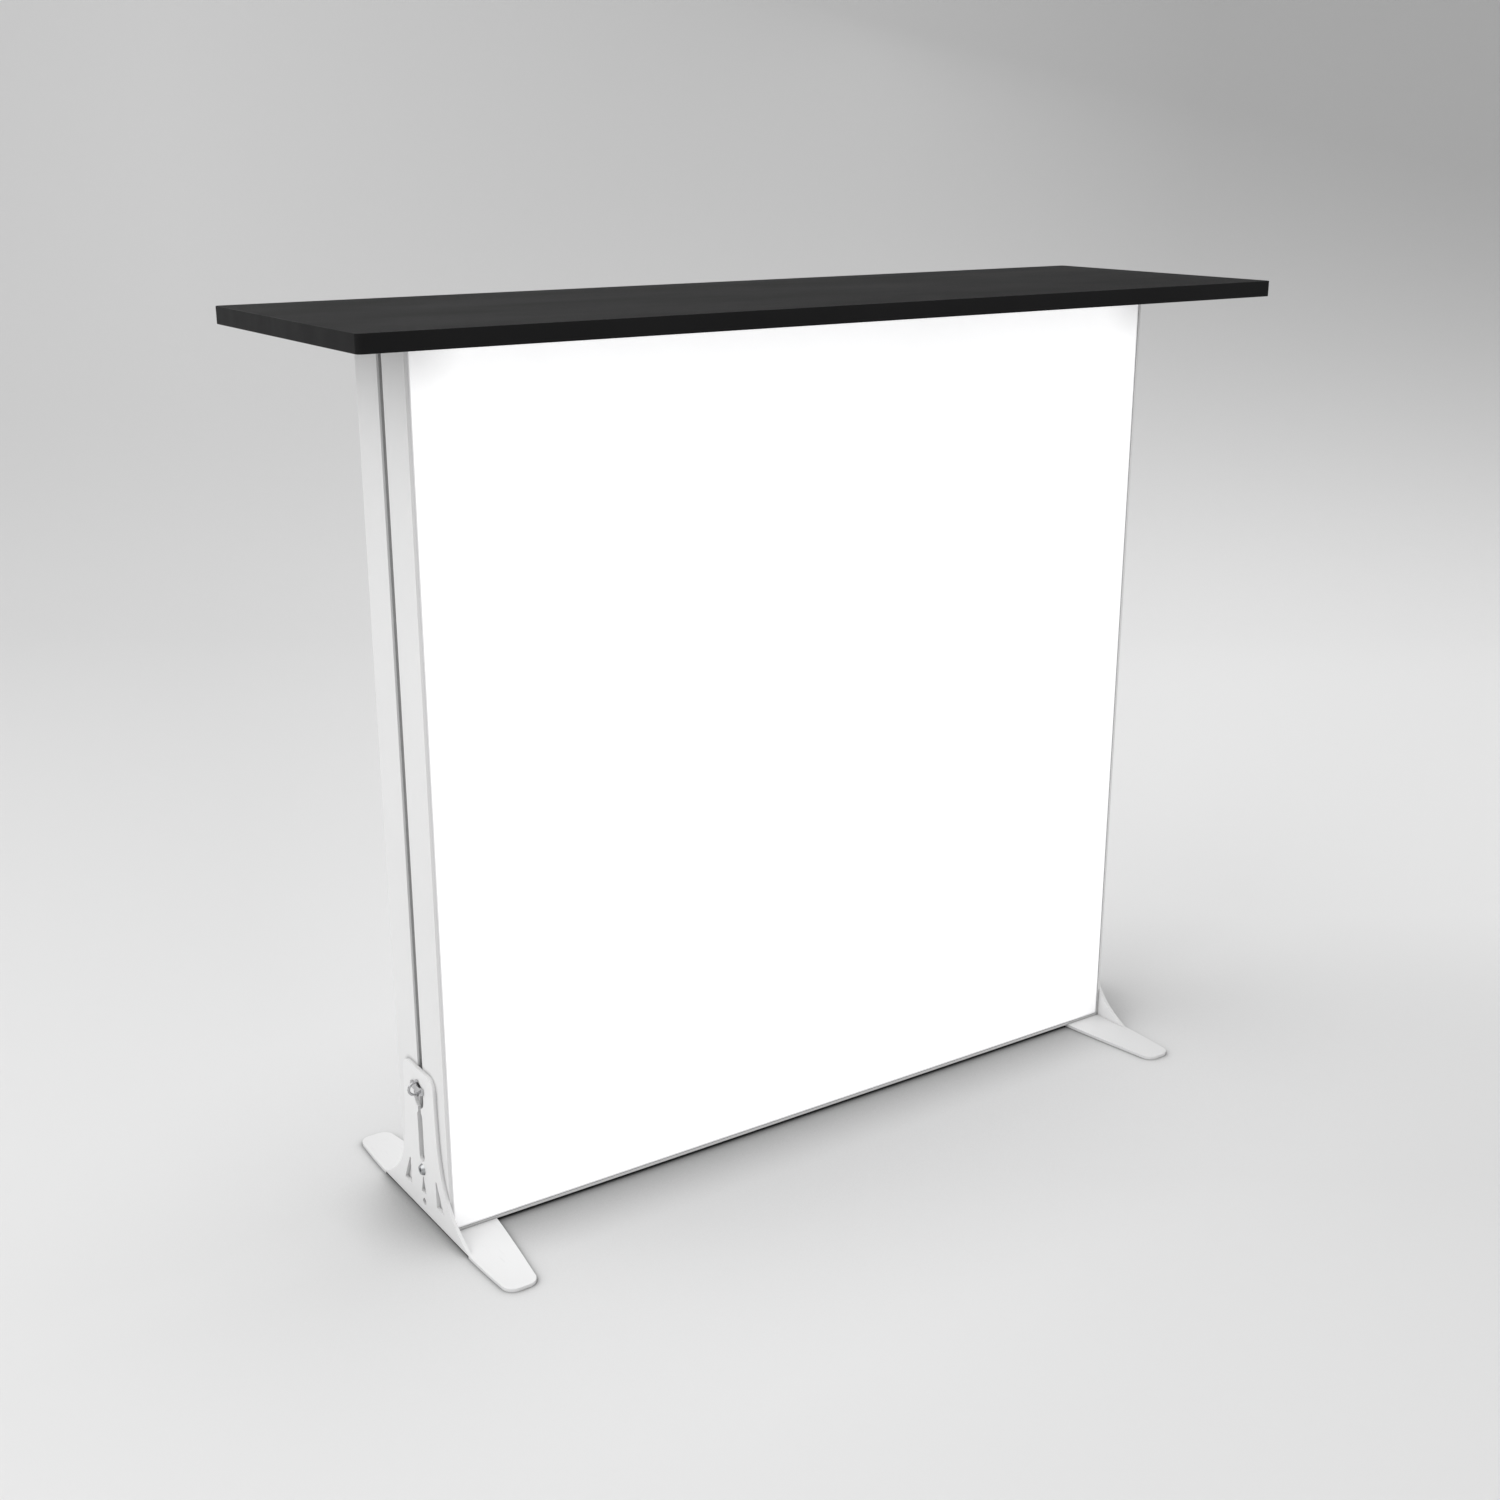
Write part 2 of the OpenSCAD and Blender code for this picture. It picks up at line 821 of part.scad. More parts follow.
module led_bar() {
  difference() {
    translate([-bar_x, -led_bar_w / 2, bar_z0])
      cube([led_bar_t, led_bar_w, bar_l]);
    translate([-bar_x + led_bar_wall, -led_bar_w / 2 + led_bar_wall, bar_z0 - 1])
      cube([led_bar_t, led_bar_w - 2 * led_bar_wall, bar_l + 2]);
    for (z = led_screw_zs)
      translate([-bar_x - 1, 0, z])
        rotate([0, 90, 0])
          cylinder(d = led_screw_d + screw_play, h = led_bar_wall + 2);
  }
}

module led_bar_left() {
  color("silver")
    led_bar();
}

module led_bar_right() {
  color("silver")
    mirror([1, 0, 0])
      led_bar();
}

board_w = led_bar_w - 2 * led_bar_wall - 1;
board_x = -bar_x + led_bar_wall;

module led_board() {
  translate([board_x, -board_w / 2, bar_z0 + (bar_l - board_l) / 2])
    cube([led_board_t, board_w, board_l]);
}

module led_board_left() {
  color("ivory")
    led_board();
}

module led_board_right() {
  color("ivory")
    mirror([1, 0, 0])
      led_board();
}

module led_lens() {
  rim = 2;
  cylinder(d = lens_d, h = rim);
  translate([0, 0, rim])
    intersection() {
      translate([0, 0, -lens_d / 4])
        sphere(d = lens_d * 1.1);
      cylinder(d = lens_d - 1, h = lens_d);
    }
}

module led_lenses() {
  for (i = [0:lens_n - 1])
    translate([board_x + led_board_t, 0, lens_z0 + i * led_pitch])
      rotate([0, 90, 0])
        led_lens();
}

module led_lenses_left() {
  color("aliceblue")
    led_lenses();
}

module led_lenses_right() {
  color("aliceblue")
    mirror([1, 0, 0])
      led_lenses();
}

module led_bar_screws() {
  color("silver")
    for (side = [0, 1])
      mirror([side, 0, 0])
        for (z = led_screw_zs)
          translate([board_x, 0, z])
            rotate([0, 90, 0]) {
              cylinder(d = 2 * led_screw_d, h = 2);
              translate([0, 0, -led_bar_wall - wall_t - screw_tip])
                cylinder(d = led_screw_d, h = led_bar_wall + wall_t + screw_tip + eps);
            }
}

// Plug under each lamp channel, where its lead goes in
plug_w = 10;
plug_h = 18;
plug_z0 = bar_z0 - plug_h;
plug_x = bar_x - led_bar_t / 2;
lead_z = plug_z0 + plug_h / 3;

module led_plugs() {
  color("white")
    for (side = [-1, 1])
      translate([side * plug_x - led_bar_t / 2, -plug_w / 2, plug_z0])
        cube([led_bar_t, plug_w, plug_h]);
}

// Power supply on the inner face of the bottom rail
pack_x1 = bar_x - pack_inset;
pack_x0 = pack_x1 - pack_l;
cap_l = 12;
tab_l = 14;
tab_t = 2;
pack_screw_d = 4;
pack_head_t = 0.6 * pack_screw_d;
pack_screw_xs = [pack_x0 - tab_l / 2, pack_x1 + tab_l / 2];

module led_driver() {
  rib_n = 5;
  rib_gap = 3;
  color("silver")
    translate([pack_x0 + cap_l, -pack_w / 2, inner_z0]) {
      difference() {
        cube([pack_l - 2 * cap_l, pack_w, pack_h]);
        for (i = [1:rib_n])
          translate([-1, pack_w * i / (rib_n + 1) - rib_gap / 2, pack_h - rib_gap / 2])
            cube([pack_l, rib_gap, rib_gap]);
      }
    }
}

module driver_end_caps() {
  color("dimgray")
    for (end = [0, 1])
      translate([end * (pack_x0 + pack_x1), 0, 0])
        mirror([end, 0, 0])
          difference() {
            union() {
              translate([pack_x0, -pack_w / 2, inner_z0])
                cube([cap_l, pack_w, pack_h]);
              translate([pack_x0 - tab_l, -tab_l, inner_z0])
                cube([tab_l + 1, 2 * tab_l, tab_t]);
            }
            translate([pack_x0 - tab_l / 2, 0, inner_z0 - 1])
              cylinder(d = pack_screw_d + screw_play, h = tab_t + 2);
          }
}

module driver_screws() {
  color("silver")
    for (x = pack_screw_xs)
      translate([x, 0, inner_z0 + tab_t]) {
        cylinder(d = 2 * pack_screw_d, h = pack_head_t);
        translate([0, 0, -tab_t - wall_t - screw_tip])
          cylinder(d = pack_screw_d, h = tab_t + wall_t + screw_tip + eps);
      }
}

// A round lead along level and upright runs, with a bend of radius r at each corner
function unit(v) = v / norm(v);
function side_of(v) = abs(v.x) > 0.5 ? [0, 1, 0] : [1, 0, 0];

module frame_at(ex, ey, at) {
  ez = cross(ex, ey);
  multmatrix([
    [ex.x, ey.x, ez.x, at.x],
    [ex.y, ey.y, ez.y, at.y],
    [ex.z, ey.z, ez.z, at.z],
    [0, 0, 0, 1]
  ])
    children();
}

module lead(points, d, r) {
  last = len(points) - 1;
  for (i = [0:last - 1]) {
    along = unit(points[i + 1] - points[i]);
    from = points[i] + along * (i == 0 ? 0 : r);
    to = points[i + 1] - along * (i == last - 1 ? 0 : r);
    ex = side_of(along);
    frame_at(ex, cross(along, ex), from)
      cylinder(d = d, h = norm(to - from), $fn = 24);
  }
  for (i = [1:last - 1]) {
    u = unit(points[i] - points[i - 1]);
    v = unit(points[i + 1] - points[i]);
    frame_at(-v, u, points[i] + (v - u) * r)
      rotate_extrude(angle = 90, $fn = 48)
        translate([r, 0])
          circle(d = d, $fn = 24);
  }
}

boot_t = 7;
inlet_depth = 17;
lead_bend = 8;
lead_clear = 24;
boot_x = half_w - wall_t - inlet_depth - boot_t / 2;
collar_t = 1.5;
mains_bend = boot_x - (half_w - rail_t + wall_t + collar_t);
grommet_drop = 60;
grommet_z = inlet_z - grommet_drop;
grommet_hole_d = mains_lead_d + 4;
riser_x = bar_x - lead_clear;
pack_z = inner_z0 + pack_h / 2;

module mains_lead() {
  color([0.15, 0.15, 0.15])
    lead([
      [pack_x1, void_q, pack_z],
      [riser_x, void_q, pack_z],
      [riser_x, void_q, box_z0 + grommet_z],
      [boot_x, void_q, box_z0 + grommet_z],
      [boot_x, void_q, box_z0 + inlet_z - inlet_h / 2]
    ], mains_lead_d, mains_bend);
}

lamp_exit_y = 21;
loop_x = pack_x0 - tab_l - lead_clear;
loop_y = -max(pack_w / 2 + lamp_lead_d, lamp_exit_y + 2 * lead_bend + 1);

module led_lead_left() {
  color([0.2, 0.2, 0.2])
    lead([
      [pack_x0, lamp_exit_y, lead_z],
      [-plug_x, lamp_exit_y, lead_z],
      [-plug_x, plug_w / 2, lead_z]
    ], lamp_lead_d, lead_bend);
}

module led_lead_right() {
  color([0.2, 0.2, 0.2])
    lead([
      [pack_x0, -lamp_exit_y, lead_z],
      [loop_x, -lamp_exit_y, lead_z],
      [loop_x, loop_y, lead_z],
      [plug_x, loop_y, lead_z],
      [plug_x, -plug_w / 2, lead_z]
    ], lamp_lead_d, lead_bend);
}

// Saddle clips that hold the leads down on the bottom rail
clip_wall = 1.5;
clip_l = 8;
clip_xs = [for (i = [1:4]) pack_x0 + (-plug_x - pack_x0) * i / 5];

module lead_clips() {
  side = lamp_lead_d + 2 * clip_wall;
  color("ivory")
    for (x = clip_xs)
      difference() {
        translate([x - clip_l / 2, lamp_exit_y - side / 2, inner_z0])
          cube([clip_l, side, lead_z - inner_z0 + lamp_lead_d / 2 + clip_wall]);
        translate([x - clip_l, lamp_exit_y, lead_z])
          rotate([0, 90, 0])
            cylinder(d = lamp_lead_d + thread_fit, h = 2 * clip_l);
      }
}

module lead_grommet() {
  color([0.1, 0.1, 0.1])
    translate([half_w - rail_t - collar_t, void_q, box_z0 + grommet_z])
      rotate([0, 90, 0])
        difference() {
          union() {
            cylinder(d = grommet_hole_d - thread_fit, h = wall_t + 2 * collar_t);
            cylinder(d = grommet_hole_d + 4, h = collar_t);
            translate([0, 0, wall_t + collar_t])
              cylinder(d = grommet_hole_d + 4, h = collar_t);
          }
          translate([0, 0, -1])
            cylinder(d = mains_lead_d + thread_fit, h = wall_t + 2 * collar_t + 2);
        }
}

// Power inlet in the right post, between the groove and the back fabric
inlet_flange_t = 2.4;
inlet_wall = 1.6;
inlet_screw_d = 3;
inlet_screw_rise = inlet_h / 2 + 4;
pin_t = 2;
pin_w = 4;
pin_pitch = 7;
pin_l = inlet_depth - 4;
pin_places = [[-pin_pitch, -1], [0, 2.5], [pin_pitch, -1]];

module at_inlet() {
  translate([half_w, void_q, box_z0 + inlet_z])
    rotate([0, 90, 0])
      children();
}

module socket_outline() {
  w = inlet_h - 2 * inlet_wall;
  d = inlet_w - 2 * inlet_wall;
  cut = 4;
  polygon([
    [-w / 2, -d / 2], [w / 2, -d / 2], [w / 2, d / 2 - cut],
    [w / 2 - cut, d / 2], [cut - w / 2, d / 2], [-w / 2, d / 2 - cut]
  ]);
}

module power_inlet() {
  color([0.12, 0.12, 0.12])
    at_inlet()
      difference() {
        union() {
          translate([0, 0, -wall_t - inlet_depth])
            linear_extrude(wall_t + inlet_depth + eps)
              square([inlet_h, inlet_w], center = true);
          linear_extrude(inlet_flange_t)
            round_plate(2 * inlet_screw_rise + 8, inlet_w + 3, 3);
        }
        translate([0, 0, inlet_wall - wall_t - inlet_depth])
          linear_extrude(wall_t + inlet_depth + inlet_flange_t)
            socket_outline();
        for (s = [-1, 1])
          translate([s * inlet_screw_rise, 0, -1])
            cylinder(d = inlet_screw_d + screw_play, h = inlet_flange_t + 2);
        for (p = pin_places)
          translate([p.x - pin_t / 2, p.y - pin_w / 2, -wall_t - inlet_depth - 1])
            cube([pin_t, pin_w, inlet_wall + 2]);
      }
}

module inlet_pins() {
  color("gold")
    at_inlet()
      for (p = pin_places)
        translate([p.x - pin_t / 2, p.y - pin_w / 2, -wall_t - inlet_depth])
          cube([pin_t, pin_w, inlet_wall + pin_l]);
}

module inlet_boot() {
  color([0.1, 0.1, 0.1])
    translate([boot_x - boot_t / 2, void_q - inlet_w / 2, box_z0 + inlet_z - inlet_h / 2])
      cube([boot_t, inlet_w, inlet_h]);
}

module inlet_screws() {
  color("dimgray")
    at_inlet()
      for (s = [-1, 1])
        translate([s * inlet_screw_rise, 0, inlet_flange_t]) {
          difference() {
            cylinder(d = 2 * inlet_screw_d, h = 1.4);
            translate([-4, -0.4, 0.8])
              cube([8, 0.8, 2]);
          }
          translate([0, 0, -inlet_flange_t - wall_t - 2])
            cylinder(d = inlet_screw_d, h = inlet_flange_t + wall_t + 2 + eps);
        }
}

// Rocker switch above the inlet
switch_z = inlet_z + switch_rise;
bezel_t = 1.8;
bezel_rim = 1;
switch_depth = 14;
well_wall = 1.3;
well_depth = 7;
pivot_depth = 2.6;
pivot_d = 2;
pivot_fit = 0.05;
pivot_pocket = 0.6;
pivot_reach = 0.4;
rocker_gap = 0.35;
well_w = switch_w - 2 * well_wall;
well_h = switch_h - 2 * well_wall;

module at_switch() {
  translate([half_w, void_q, box_z0 + switch_z])
    rotate([0, 90, 0])
      children();
}

module switch_housing() {
  color([0.12, 0.12, 0.12])
    at_switch()
      difference() {
        union() {
          translate([0, 0, -wall_t - switch_depth])
            linear_extrude(wall_t + switch_depth + eps)
              square([switch_h, switch_w], center = true);
          linear_extrude(bezel_t)
            round_plate(switch_h + 2 * bezel_rim, switch_w + 2 * bezel_rim, 1.2);
        }
        translate([0, 0, bezel_t - well_depth])
          linear_extrude(well_depth + 1)
            square([well_h, well_w], center = true);
        translate([0, 0, bezel_t - pivot_depth])
          rotate([90, 0, 0])
            cylinder(d = pivot_d + 2 * pivot_fit, h = well_w + 2 * pivot_pocket, center = true);
      }
}

// Rocker with two slopes, a round back and a pivot pin at each side, pressed in at its lower end
module switch_rocker() {
  half_l = well_h / 2 - 0.9;
  rocker_w = well_w - 2 * rocker_gap;
  color([0.6, 0.05, 0.05])
    at_switch()
      translate([0, 0, bezel_t - pivot_depth])
        rotate([0, rock_angle / 2, 0])
          union() {
            rotate([90, 0, 0])
              linear_extrude(rocker_w, center = true)
                polygon([
                  [-half_l, 3.6], [0, 2.8], [half_l, 3.6],
                  [half_l, 0.6], [half_l - 2, -0.8], [2, -2.2],
                  [-2, -2.2], [2 - half_l, -0.8], [-half_l, 0.6]
                ]);
            rotate([90, 0, 0])
              cylinder(d = pivot_d, h = well_w + 2 * pivot_reach, center = true);
          }
}

left_post();
right_post();
top_rail();
bottom_rail();
corner_bracket_top_left();
corner_bracket_top_right();
corner_bracket_bottom_left();
corner_bracket_bottom_right();
corner_screws();
front_fabric();
back_fabric();
front_edge_strip();
back_edge_strip();
top_board();
top_laminate();
underside_laminate();
edge_band();
top_inserts();
top_bolts();
top_washers();
foot_left();
foot_right();
foot_screws();
foot_nuts();
foot_lock_left();
foot_lock_right();
led_bar_left();
led_bar_right();
led_board_left();
led_board_right();
led_lenses_left();
led_lenses_right();
led_bar_screws();
led_plugs();
led_driver();
driver_end_caps();
driver_screws();
mains_lead();
led_lead_left();
led_lead_right();
lead_clips();
lead_grommet();
power_inlet();
inlet_pins();
inlet_boot();
inlet_screws();
switch_housing();
switch_rocker();
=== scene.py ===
import json
import math

import bmesh
import bpy
from mathutils import Matrix, Vector


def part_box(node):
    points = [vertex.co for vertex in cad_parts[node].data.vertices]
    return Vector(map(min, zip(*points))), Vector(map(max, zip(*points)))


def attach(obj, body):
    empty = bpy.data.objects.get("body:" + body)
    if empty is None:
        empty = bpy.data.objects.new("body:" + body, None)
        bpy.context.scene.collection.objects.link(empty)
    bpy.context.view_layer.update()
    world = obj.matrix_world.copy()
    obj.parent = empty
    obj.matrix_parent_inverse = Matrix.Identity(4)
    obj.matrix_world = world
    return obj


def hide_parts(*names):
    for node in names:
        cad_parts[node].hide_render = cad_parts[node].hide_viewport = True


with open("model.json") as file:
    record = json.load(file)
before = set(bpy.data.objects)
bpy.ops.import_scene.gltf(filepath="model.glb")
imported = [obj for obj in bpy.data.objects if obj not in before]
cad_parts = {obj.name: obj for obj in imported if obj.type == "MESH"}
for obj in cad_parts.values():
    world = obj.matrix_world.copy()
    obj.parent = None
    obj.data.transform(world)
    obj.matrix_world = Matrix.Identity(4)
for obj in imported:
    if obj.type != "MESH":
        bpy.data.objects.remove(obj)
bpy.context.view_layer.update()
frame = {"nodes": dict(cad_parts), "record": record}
nodes = frame["nodes"]
mm = 0.001
print("frame loaded with %d nodes" % len(nodes))

# camera, where the photograph was taken from
viewpoint = {
    "place": (-1.27716, -1.79349, 1.17483),  # metres
    "pitch": 0.3101,  # radians below level
    "turn": 0.5993,  # radians to the right of +Y
    "lens": 45.57,  # millimetres
    "film": 36.0,  # millimetres, width of the picture in the camera
}


def makeCamera(look):
    data = bpy.data.cameras.new("counterView")
    data.lens = look["lens"]
    data.sensor_width = look["film"]
    camera = bpy.data.objects.new("counterView", data)
    camera.location = look["place"]
    camera.rotation_euler = (math.pi / 2 - look["pitch"], 0.0, -look["turn"])
    bpy.context.scene.collection.objects.link(camera)
    bpy.context.scene.camera = camera


makeCamera(viewpoint)
bpy.context.scene.view_settings.view_transform = "Standard"
print("camera placed")


# building blocks for node trees
def addObject(name, mesh):
    thing = bpy.data.objects.new(name, mesh)
    bpy.context.scene.collection.objects.link(thing)
    return thing


def plug(tree, socket, value):
    if isinstance(value, bpy.types.NodeSocket):
        tree.links.new(value, socket)
    elif isinstance(value, (tuple, list)) and len(value) == 3 and socket.type == "RGBA":
        socket.default_value = (*value, 1.0)
    else:
        socket.default_value = value


def addNode(tree, kind, inputs=None, **settings):
    node = tree.nodes.new(kind)
    for key, value in settings.items():
        setattr(node, key, value)
    for key, value in (inputs or {}).items():
        plug(tree, node.inputs[key], value)
    return node


def calc(tree, operation, *values):
    node = addNode(tree, "ShaderNodeMath", operation=operation)
    for socket, value in zip(node.inputs, values):
        plug(tree, socket, value)
    return node.outputs[0]


def startMaterial(name, settings=None):
    material = bpy.data.materials.new(name)
    material.use_nodes = True
    tree = material.node_tree
    shader = tree.nodes["Principled BSDF"]
    for key, value in (settings or {}).items():
        plug(tree, shader.inputs[key], value)
    return material, tree, shader


def objectPlace(tree, stretch=(1.0, 1.0, 1.0)):
    where = addNode(tree, "ShaderNodeTexCoord").outputs["Object"]
    return addNode(tree, "ShaderNodeMapping", {"Vector": where, "Scale": stretch}).outputs[0]


def blotches(tree, place, width, detail=2.0):  # width of one blotch in metres
    settings = {"Vector": place, "Scale": 1.0 / width, "Detail": detail}
    return addNode(tree, "ShaderNodeTexNoise", settings).outputs["Fac"]


def between(tree, value, low, high, fromLow=0.3, fromHigh=0.7):  # low at fromLow, high at fromHigh
    sockets = {"Value": value, "From Min": fromLow, "From Max": fromHigh, "To Min": low, "To Max": high}
    return addNode(tree, "ShaderNodeMapRange", sockets).outputs[0]


def mixTones(tree, amount, first, second):  # sockets 6 and 7 are the mixed colours
    mix = addNode(tree, "ShaderNodeMix", data_type="RGBA")
    for socket, value in ((mix.inputs[0], amount), (mix.inputs[6], first), (mix.inputs[7], second)):
        plug(tree, socket, value)
    return mix.outputs[2]


def openness(tree, reach, depth, **inputs):  # 1 in the open, less where something stands within reach
    near = addNode(tree, "ShaderNodeAmbientOcclusion", {"Distance": reach, **inputs}, samples=8)
    return calc(tree, "POWER", near.outputs["AO"], depth)


def relief(tree, shader, height, depth):
    bump = addNode(tree, "ShaderNodeBump", {"Height": height, "Distance": depth})
    tree.links.new(bump.outputs[0], shader.inputs["Normal"])


# painted metal: the frame's satin powder coat and the feet's
framePaint = {
    "pale": (0.75, 0.75, 0.75),
    "deep": (0.725, 0.725, 0.725),
    "cloud": 0.16,  # width of the faint unevenness
    "peel": 0.0011,  # width of one dimple of the coat
    "peelDepth": 0.00004,
    "rough": (0.34, 0.48),
    "scuff": 0.0,  # height up to which shoes and mops have marked it
    "corner": (0.006, 1.1),  # reach and depth of the painted shade that darkens grooves and cut-outs
    "shine": 0.42,
    "speck": (0.60, 0.60, 0.61),
    "speckShare": 0.06,  # how much of that tone a speck takes
    "streak": 0.0016,  # width of one scuff
    "patch": 0.03,  # width of a scuffed place
    "worn": (0.50, 0.495, 0.485),
    "wornShare": 0.22,
    "wornRough": 0.3,  # how much rougher a scuff is
}
footPaint = dict(
    framePaint, pale=(0.785, 0.785, 0.785), deep=(0.76, 0.76, 0.76), scuff=0.012, corner=(0.004, 0.2)
)


def paintedMetal(name, look):
    material, tree, shader = startMaterial(name, {"Specular IOR Level": look["shine"]})
    place = objectPlace(tree)
    cloud = blotches(tree, place, look["cloud"], 3.0)
    speck = blotches(tree, place, look["peel"] * 0.6, 1.0)
    colour = mixTones(tree, between(tree, cloud, 0.0, 1.0), look["pale"], look["deep"])
    colour = mixTones(tree, between(tree, speck, 0.0, look["speckShare"], 0.62, 0.75), colour, look["speck"])
    rough = between(tree, cloud, *look["rough"])
    if look["scuff"] > 0.0:
        height = addNode(tree, "ShaderNodeSeparateXYZ", {"Vector": place}).outputs[2]
        low = between(tree, height, 1.0, 0.0, 0.0, look["scuff"])
        streaks = blotches(tree, objectPlace(tree, (1.0, 0.06, 1.0)), look["streak"], 2.0)
        patches = between(tree, blotches(tree, place, look["patch"], 3.0), 0.0, 1.0, 0.48, 0.62)
        marks = between(tree, streaks, 0.0, look["wornShare"], 0.58, 0.74)
        worn = calc(tree, "MULTIPLY", calc(tree, "MULTIPLY", low, patches), marks)
        colour = mixTones(tree, worn, colour, look["worn"])
        rough = calc(tree, "ADD", rough, calc(tree, "MULTIPLY", worn, look["wornRough"]))
    # painted shade: the coat's colour goes towards black where something stands within the corner reach
    colour = mixTones(tree, openness(tree, *look["corner"]), (0.0, 0.0, 0.0), colour)
    plug(tree, shader.inputs["Base Color"], colour)
    plug(tree, shader.inputs["Roughness"], rough)
    relief(tree, shader, blotches(tree, place, look["peel"], 1.0), look["peelDepth"])
    return material


# bare and plated metals
metalCloud = 0.009  # width of the unevenness in their tone
metalLooks = {
    "cast_zinc": {"pale": (0.58, 0.59, 0.60), "deep": (0.42, 0.43, 0.44), "rough": (0.42, 0.62),
                  "grain": 0.0012, "depth": 0.00006, "stretch": (1, 1, 1)},
    "dark_steel": {"pale": (0.10, 0.10, 0.105), "deep": (0.05, 0.05, 0.054), "rough": (0.30, 0.45),
                   "grain": 0.0007, "depth": 0.00002, "stretch": (1, 1, 1)},
    "zinc_steel": {"pale": (0.52, 0.53, 0.54), "deep": (0.41, 0.42, 0.43), "rough": (0.20, 0.34),
                   "grain": 0.0005, "depth": 0.00001, "stretch": (1, 1, 4)},
    "lock_chrome": {"pale": (0.60, 0.60, 0.61), "deep": (0.47, 0.47, 0.48), "rough": (0.07, 0.16),
                    "grain": 0.0006, "depth": 0.000006, "stretch": (1, 6, 1)},
    "bare_aluminium": {"pale": (0.76, 0.77, 0.78), "deep": (0.64, 0.65, 0.66), "rough": (0.28, 0.42),
                       "grain": 0.0005, "depth": 0.00002, "stretch": (6, 6, 0.15)},
    "insert_brass": {"pale": (0.74, 0.56, 0.28), "deep": (0.58, 0.42, 0.20), "rough": (0.24, 0.38),
                     "grain": 0.0004, "depth": 0.00002, "stretch": (1, 1, 8)},
    "pin_brass": {"pale": (0.78, 0.70, 0.48), "deep": (0.66, 0.57, 0.36), "rough": (0.16, 0.28),
                  "grain": 0.0005, "depth": 0.00001, "stretch": (0.3, 4, 4)},
}


def bareMetal(name, look):
    material, tree, shader = startMaterial(name, {"Metallic": 1.0})
    place = objectPlace(tree, look["stretch"])
    grain = blotches(tree, place, look["grain"], 3.0)
    cloud = blotches(tree, objectPlace(tree), metalCloud, 3.0)
    colour = mixTones(tree, between(tree, cloud, 0.0, 1.0), look["pale"], look["deep"])
    plug(tree, shader.inputs["Base Color"], colour)
    plug(tree, shader.inputs["Roughness"], between(tree, grain, *look["rough"]))
    relief(tree, shader, grain, look["depth"])
    return material


# moulded plastics and rubber
mouldedCloud = 0.014  # width of the unevenness in their tone
sparkDepth = 0.04  # depth of a spark mark as a share of its width
mouldedLooks = {
    "white_plastic": {"pale": (0.80, 0.80, 0.78), "deep": (0.74, 0.74, 0.71),
                      "rough": (0.36, 0.5), "spark": 0.0004},
    "grey_plastic": {"pale": (0.10, 0.103, 0.108), "deep": (0.07, 0.072, 0.076),
                     "rough": (0.42, 0.56), "spark": 0.0005},
    "black_plastic": {"pale": (0.026, 0.026, 0.027), "deep": (0.016, 0.016, 0.017),
                      "rough": (0.34, 0.5), "spark": 0.0004},
    "lead_sheath": {"pale": (0.040, 0.040, 0.041), "deep": (0.026, 0.026, 0.027),
                    "rough": (0.5, 0.66), "spark": 0.0007},
    "rocker_red": {"pale": (0.42, 0.018, 0.014), "deep": (0.34, 0.012, 0.010),
                   "rough": (0.16, 0.26), "spark": 0.0009},
    "edge_silicone": {"pale": (0.74, 0.75, 0.76), "deep": (0.66, 0.67, 0.69),
                      "rough": (0.36, 0.46), "spark": 0.0010},
}


def mouldedPlastic(name, look):
    material, tree, shader = startMaterial(name)
    place = objectPlace(tree)
    cells = addNode(tree, "ShaderNodeTexVoronoi", {"Vector": place, "Scale": 1.0 / look["spark"]})
    cloud = blotches(tree, place, mouldedCloud, 3.0)
    colour = mixTones(tree, between(tree, cloud, 0.0, 1.0), look["pale"], look["deep"])
    plug(tree, shader.inputs["Base Color"], colour)
    plug(tree, shader.inputs["Roughness"], between(tree, cloud, *look["rough"]))
    relief(tree, shader, cells.outputs["Distance"], look["spark"] * sparkDepth)
    return material


# the counter top's matt laminate and its edge band
laminateLook = {
    "pale": (0.0105, 0.0105, 0.0107),
    "deep": (0.0090, 0.0090, 0.0092),
    "bead": (0.020, 0.020, 0.0203),
    "shine": 0.015,
    "pearl": 0.0009,  # width of one bead of the pressed surface
    "pearlDepth": 0.00005,
    "rough": (0.43, 0.47),
    "wipe": 0.22,  # width of the smears that a cloth leaves
    "wipeRun": (1.0, 2.6, 1.0),  # smears run along the counter
    "beadShare": 0.25,  # how much of the bead's tone comes through
}
bandLook = dict(
    laminateLook, pale=(0.0118, 0.0118, 0.0121), deep=(0.0100, 0.0100, 0.0103), bead=(0.018, 0.018, 0.0185),
    shine=0.043, pearl=0.0006, pearlDepth=0.00002, rough=(0.32, 0.42), wipe=0.09
)


def laminate(name, look):
    material, tree, shader = startMaterial(name, {"Specular IOR Level": look["shine"]})
    place = objectPlace(tree)
    smear = blotches(tree, objectPlace(tree, look["wipeRun"]), look["wipe"], 4.0)
    bead = blotches(tree, place, look["pearl"], 2.0)
    colour = mixTones(tree, between(tree, smear, 0.0, 1.0), look["pale"], look["deep"])
    colour = mixTones(tree, between(tree, bead, 0.0, look["beadShare"], 0.55, 0.8), colour, look["bead"])
    plug(tree, shader.inputs["Base Color"], colour)
    plug(tree, shader.inputs["Roughness"], between(tree, smear, *look["rough"]))
    relief(tree, shader, bead, look["pearlDepth"])
    return material


# fibreboard of the counter top, seen only in its drillings
boardLook = {
    "pale": (0.50, 0.36, 0.22),
    "deep": (0.30, 0.20, 0.11),
    "fibre": 0.0016,  # width of one fibre
    "fibreDepth": 0.00015,
    "rough": 0.86,
}


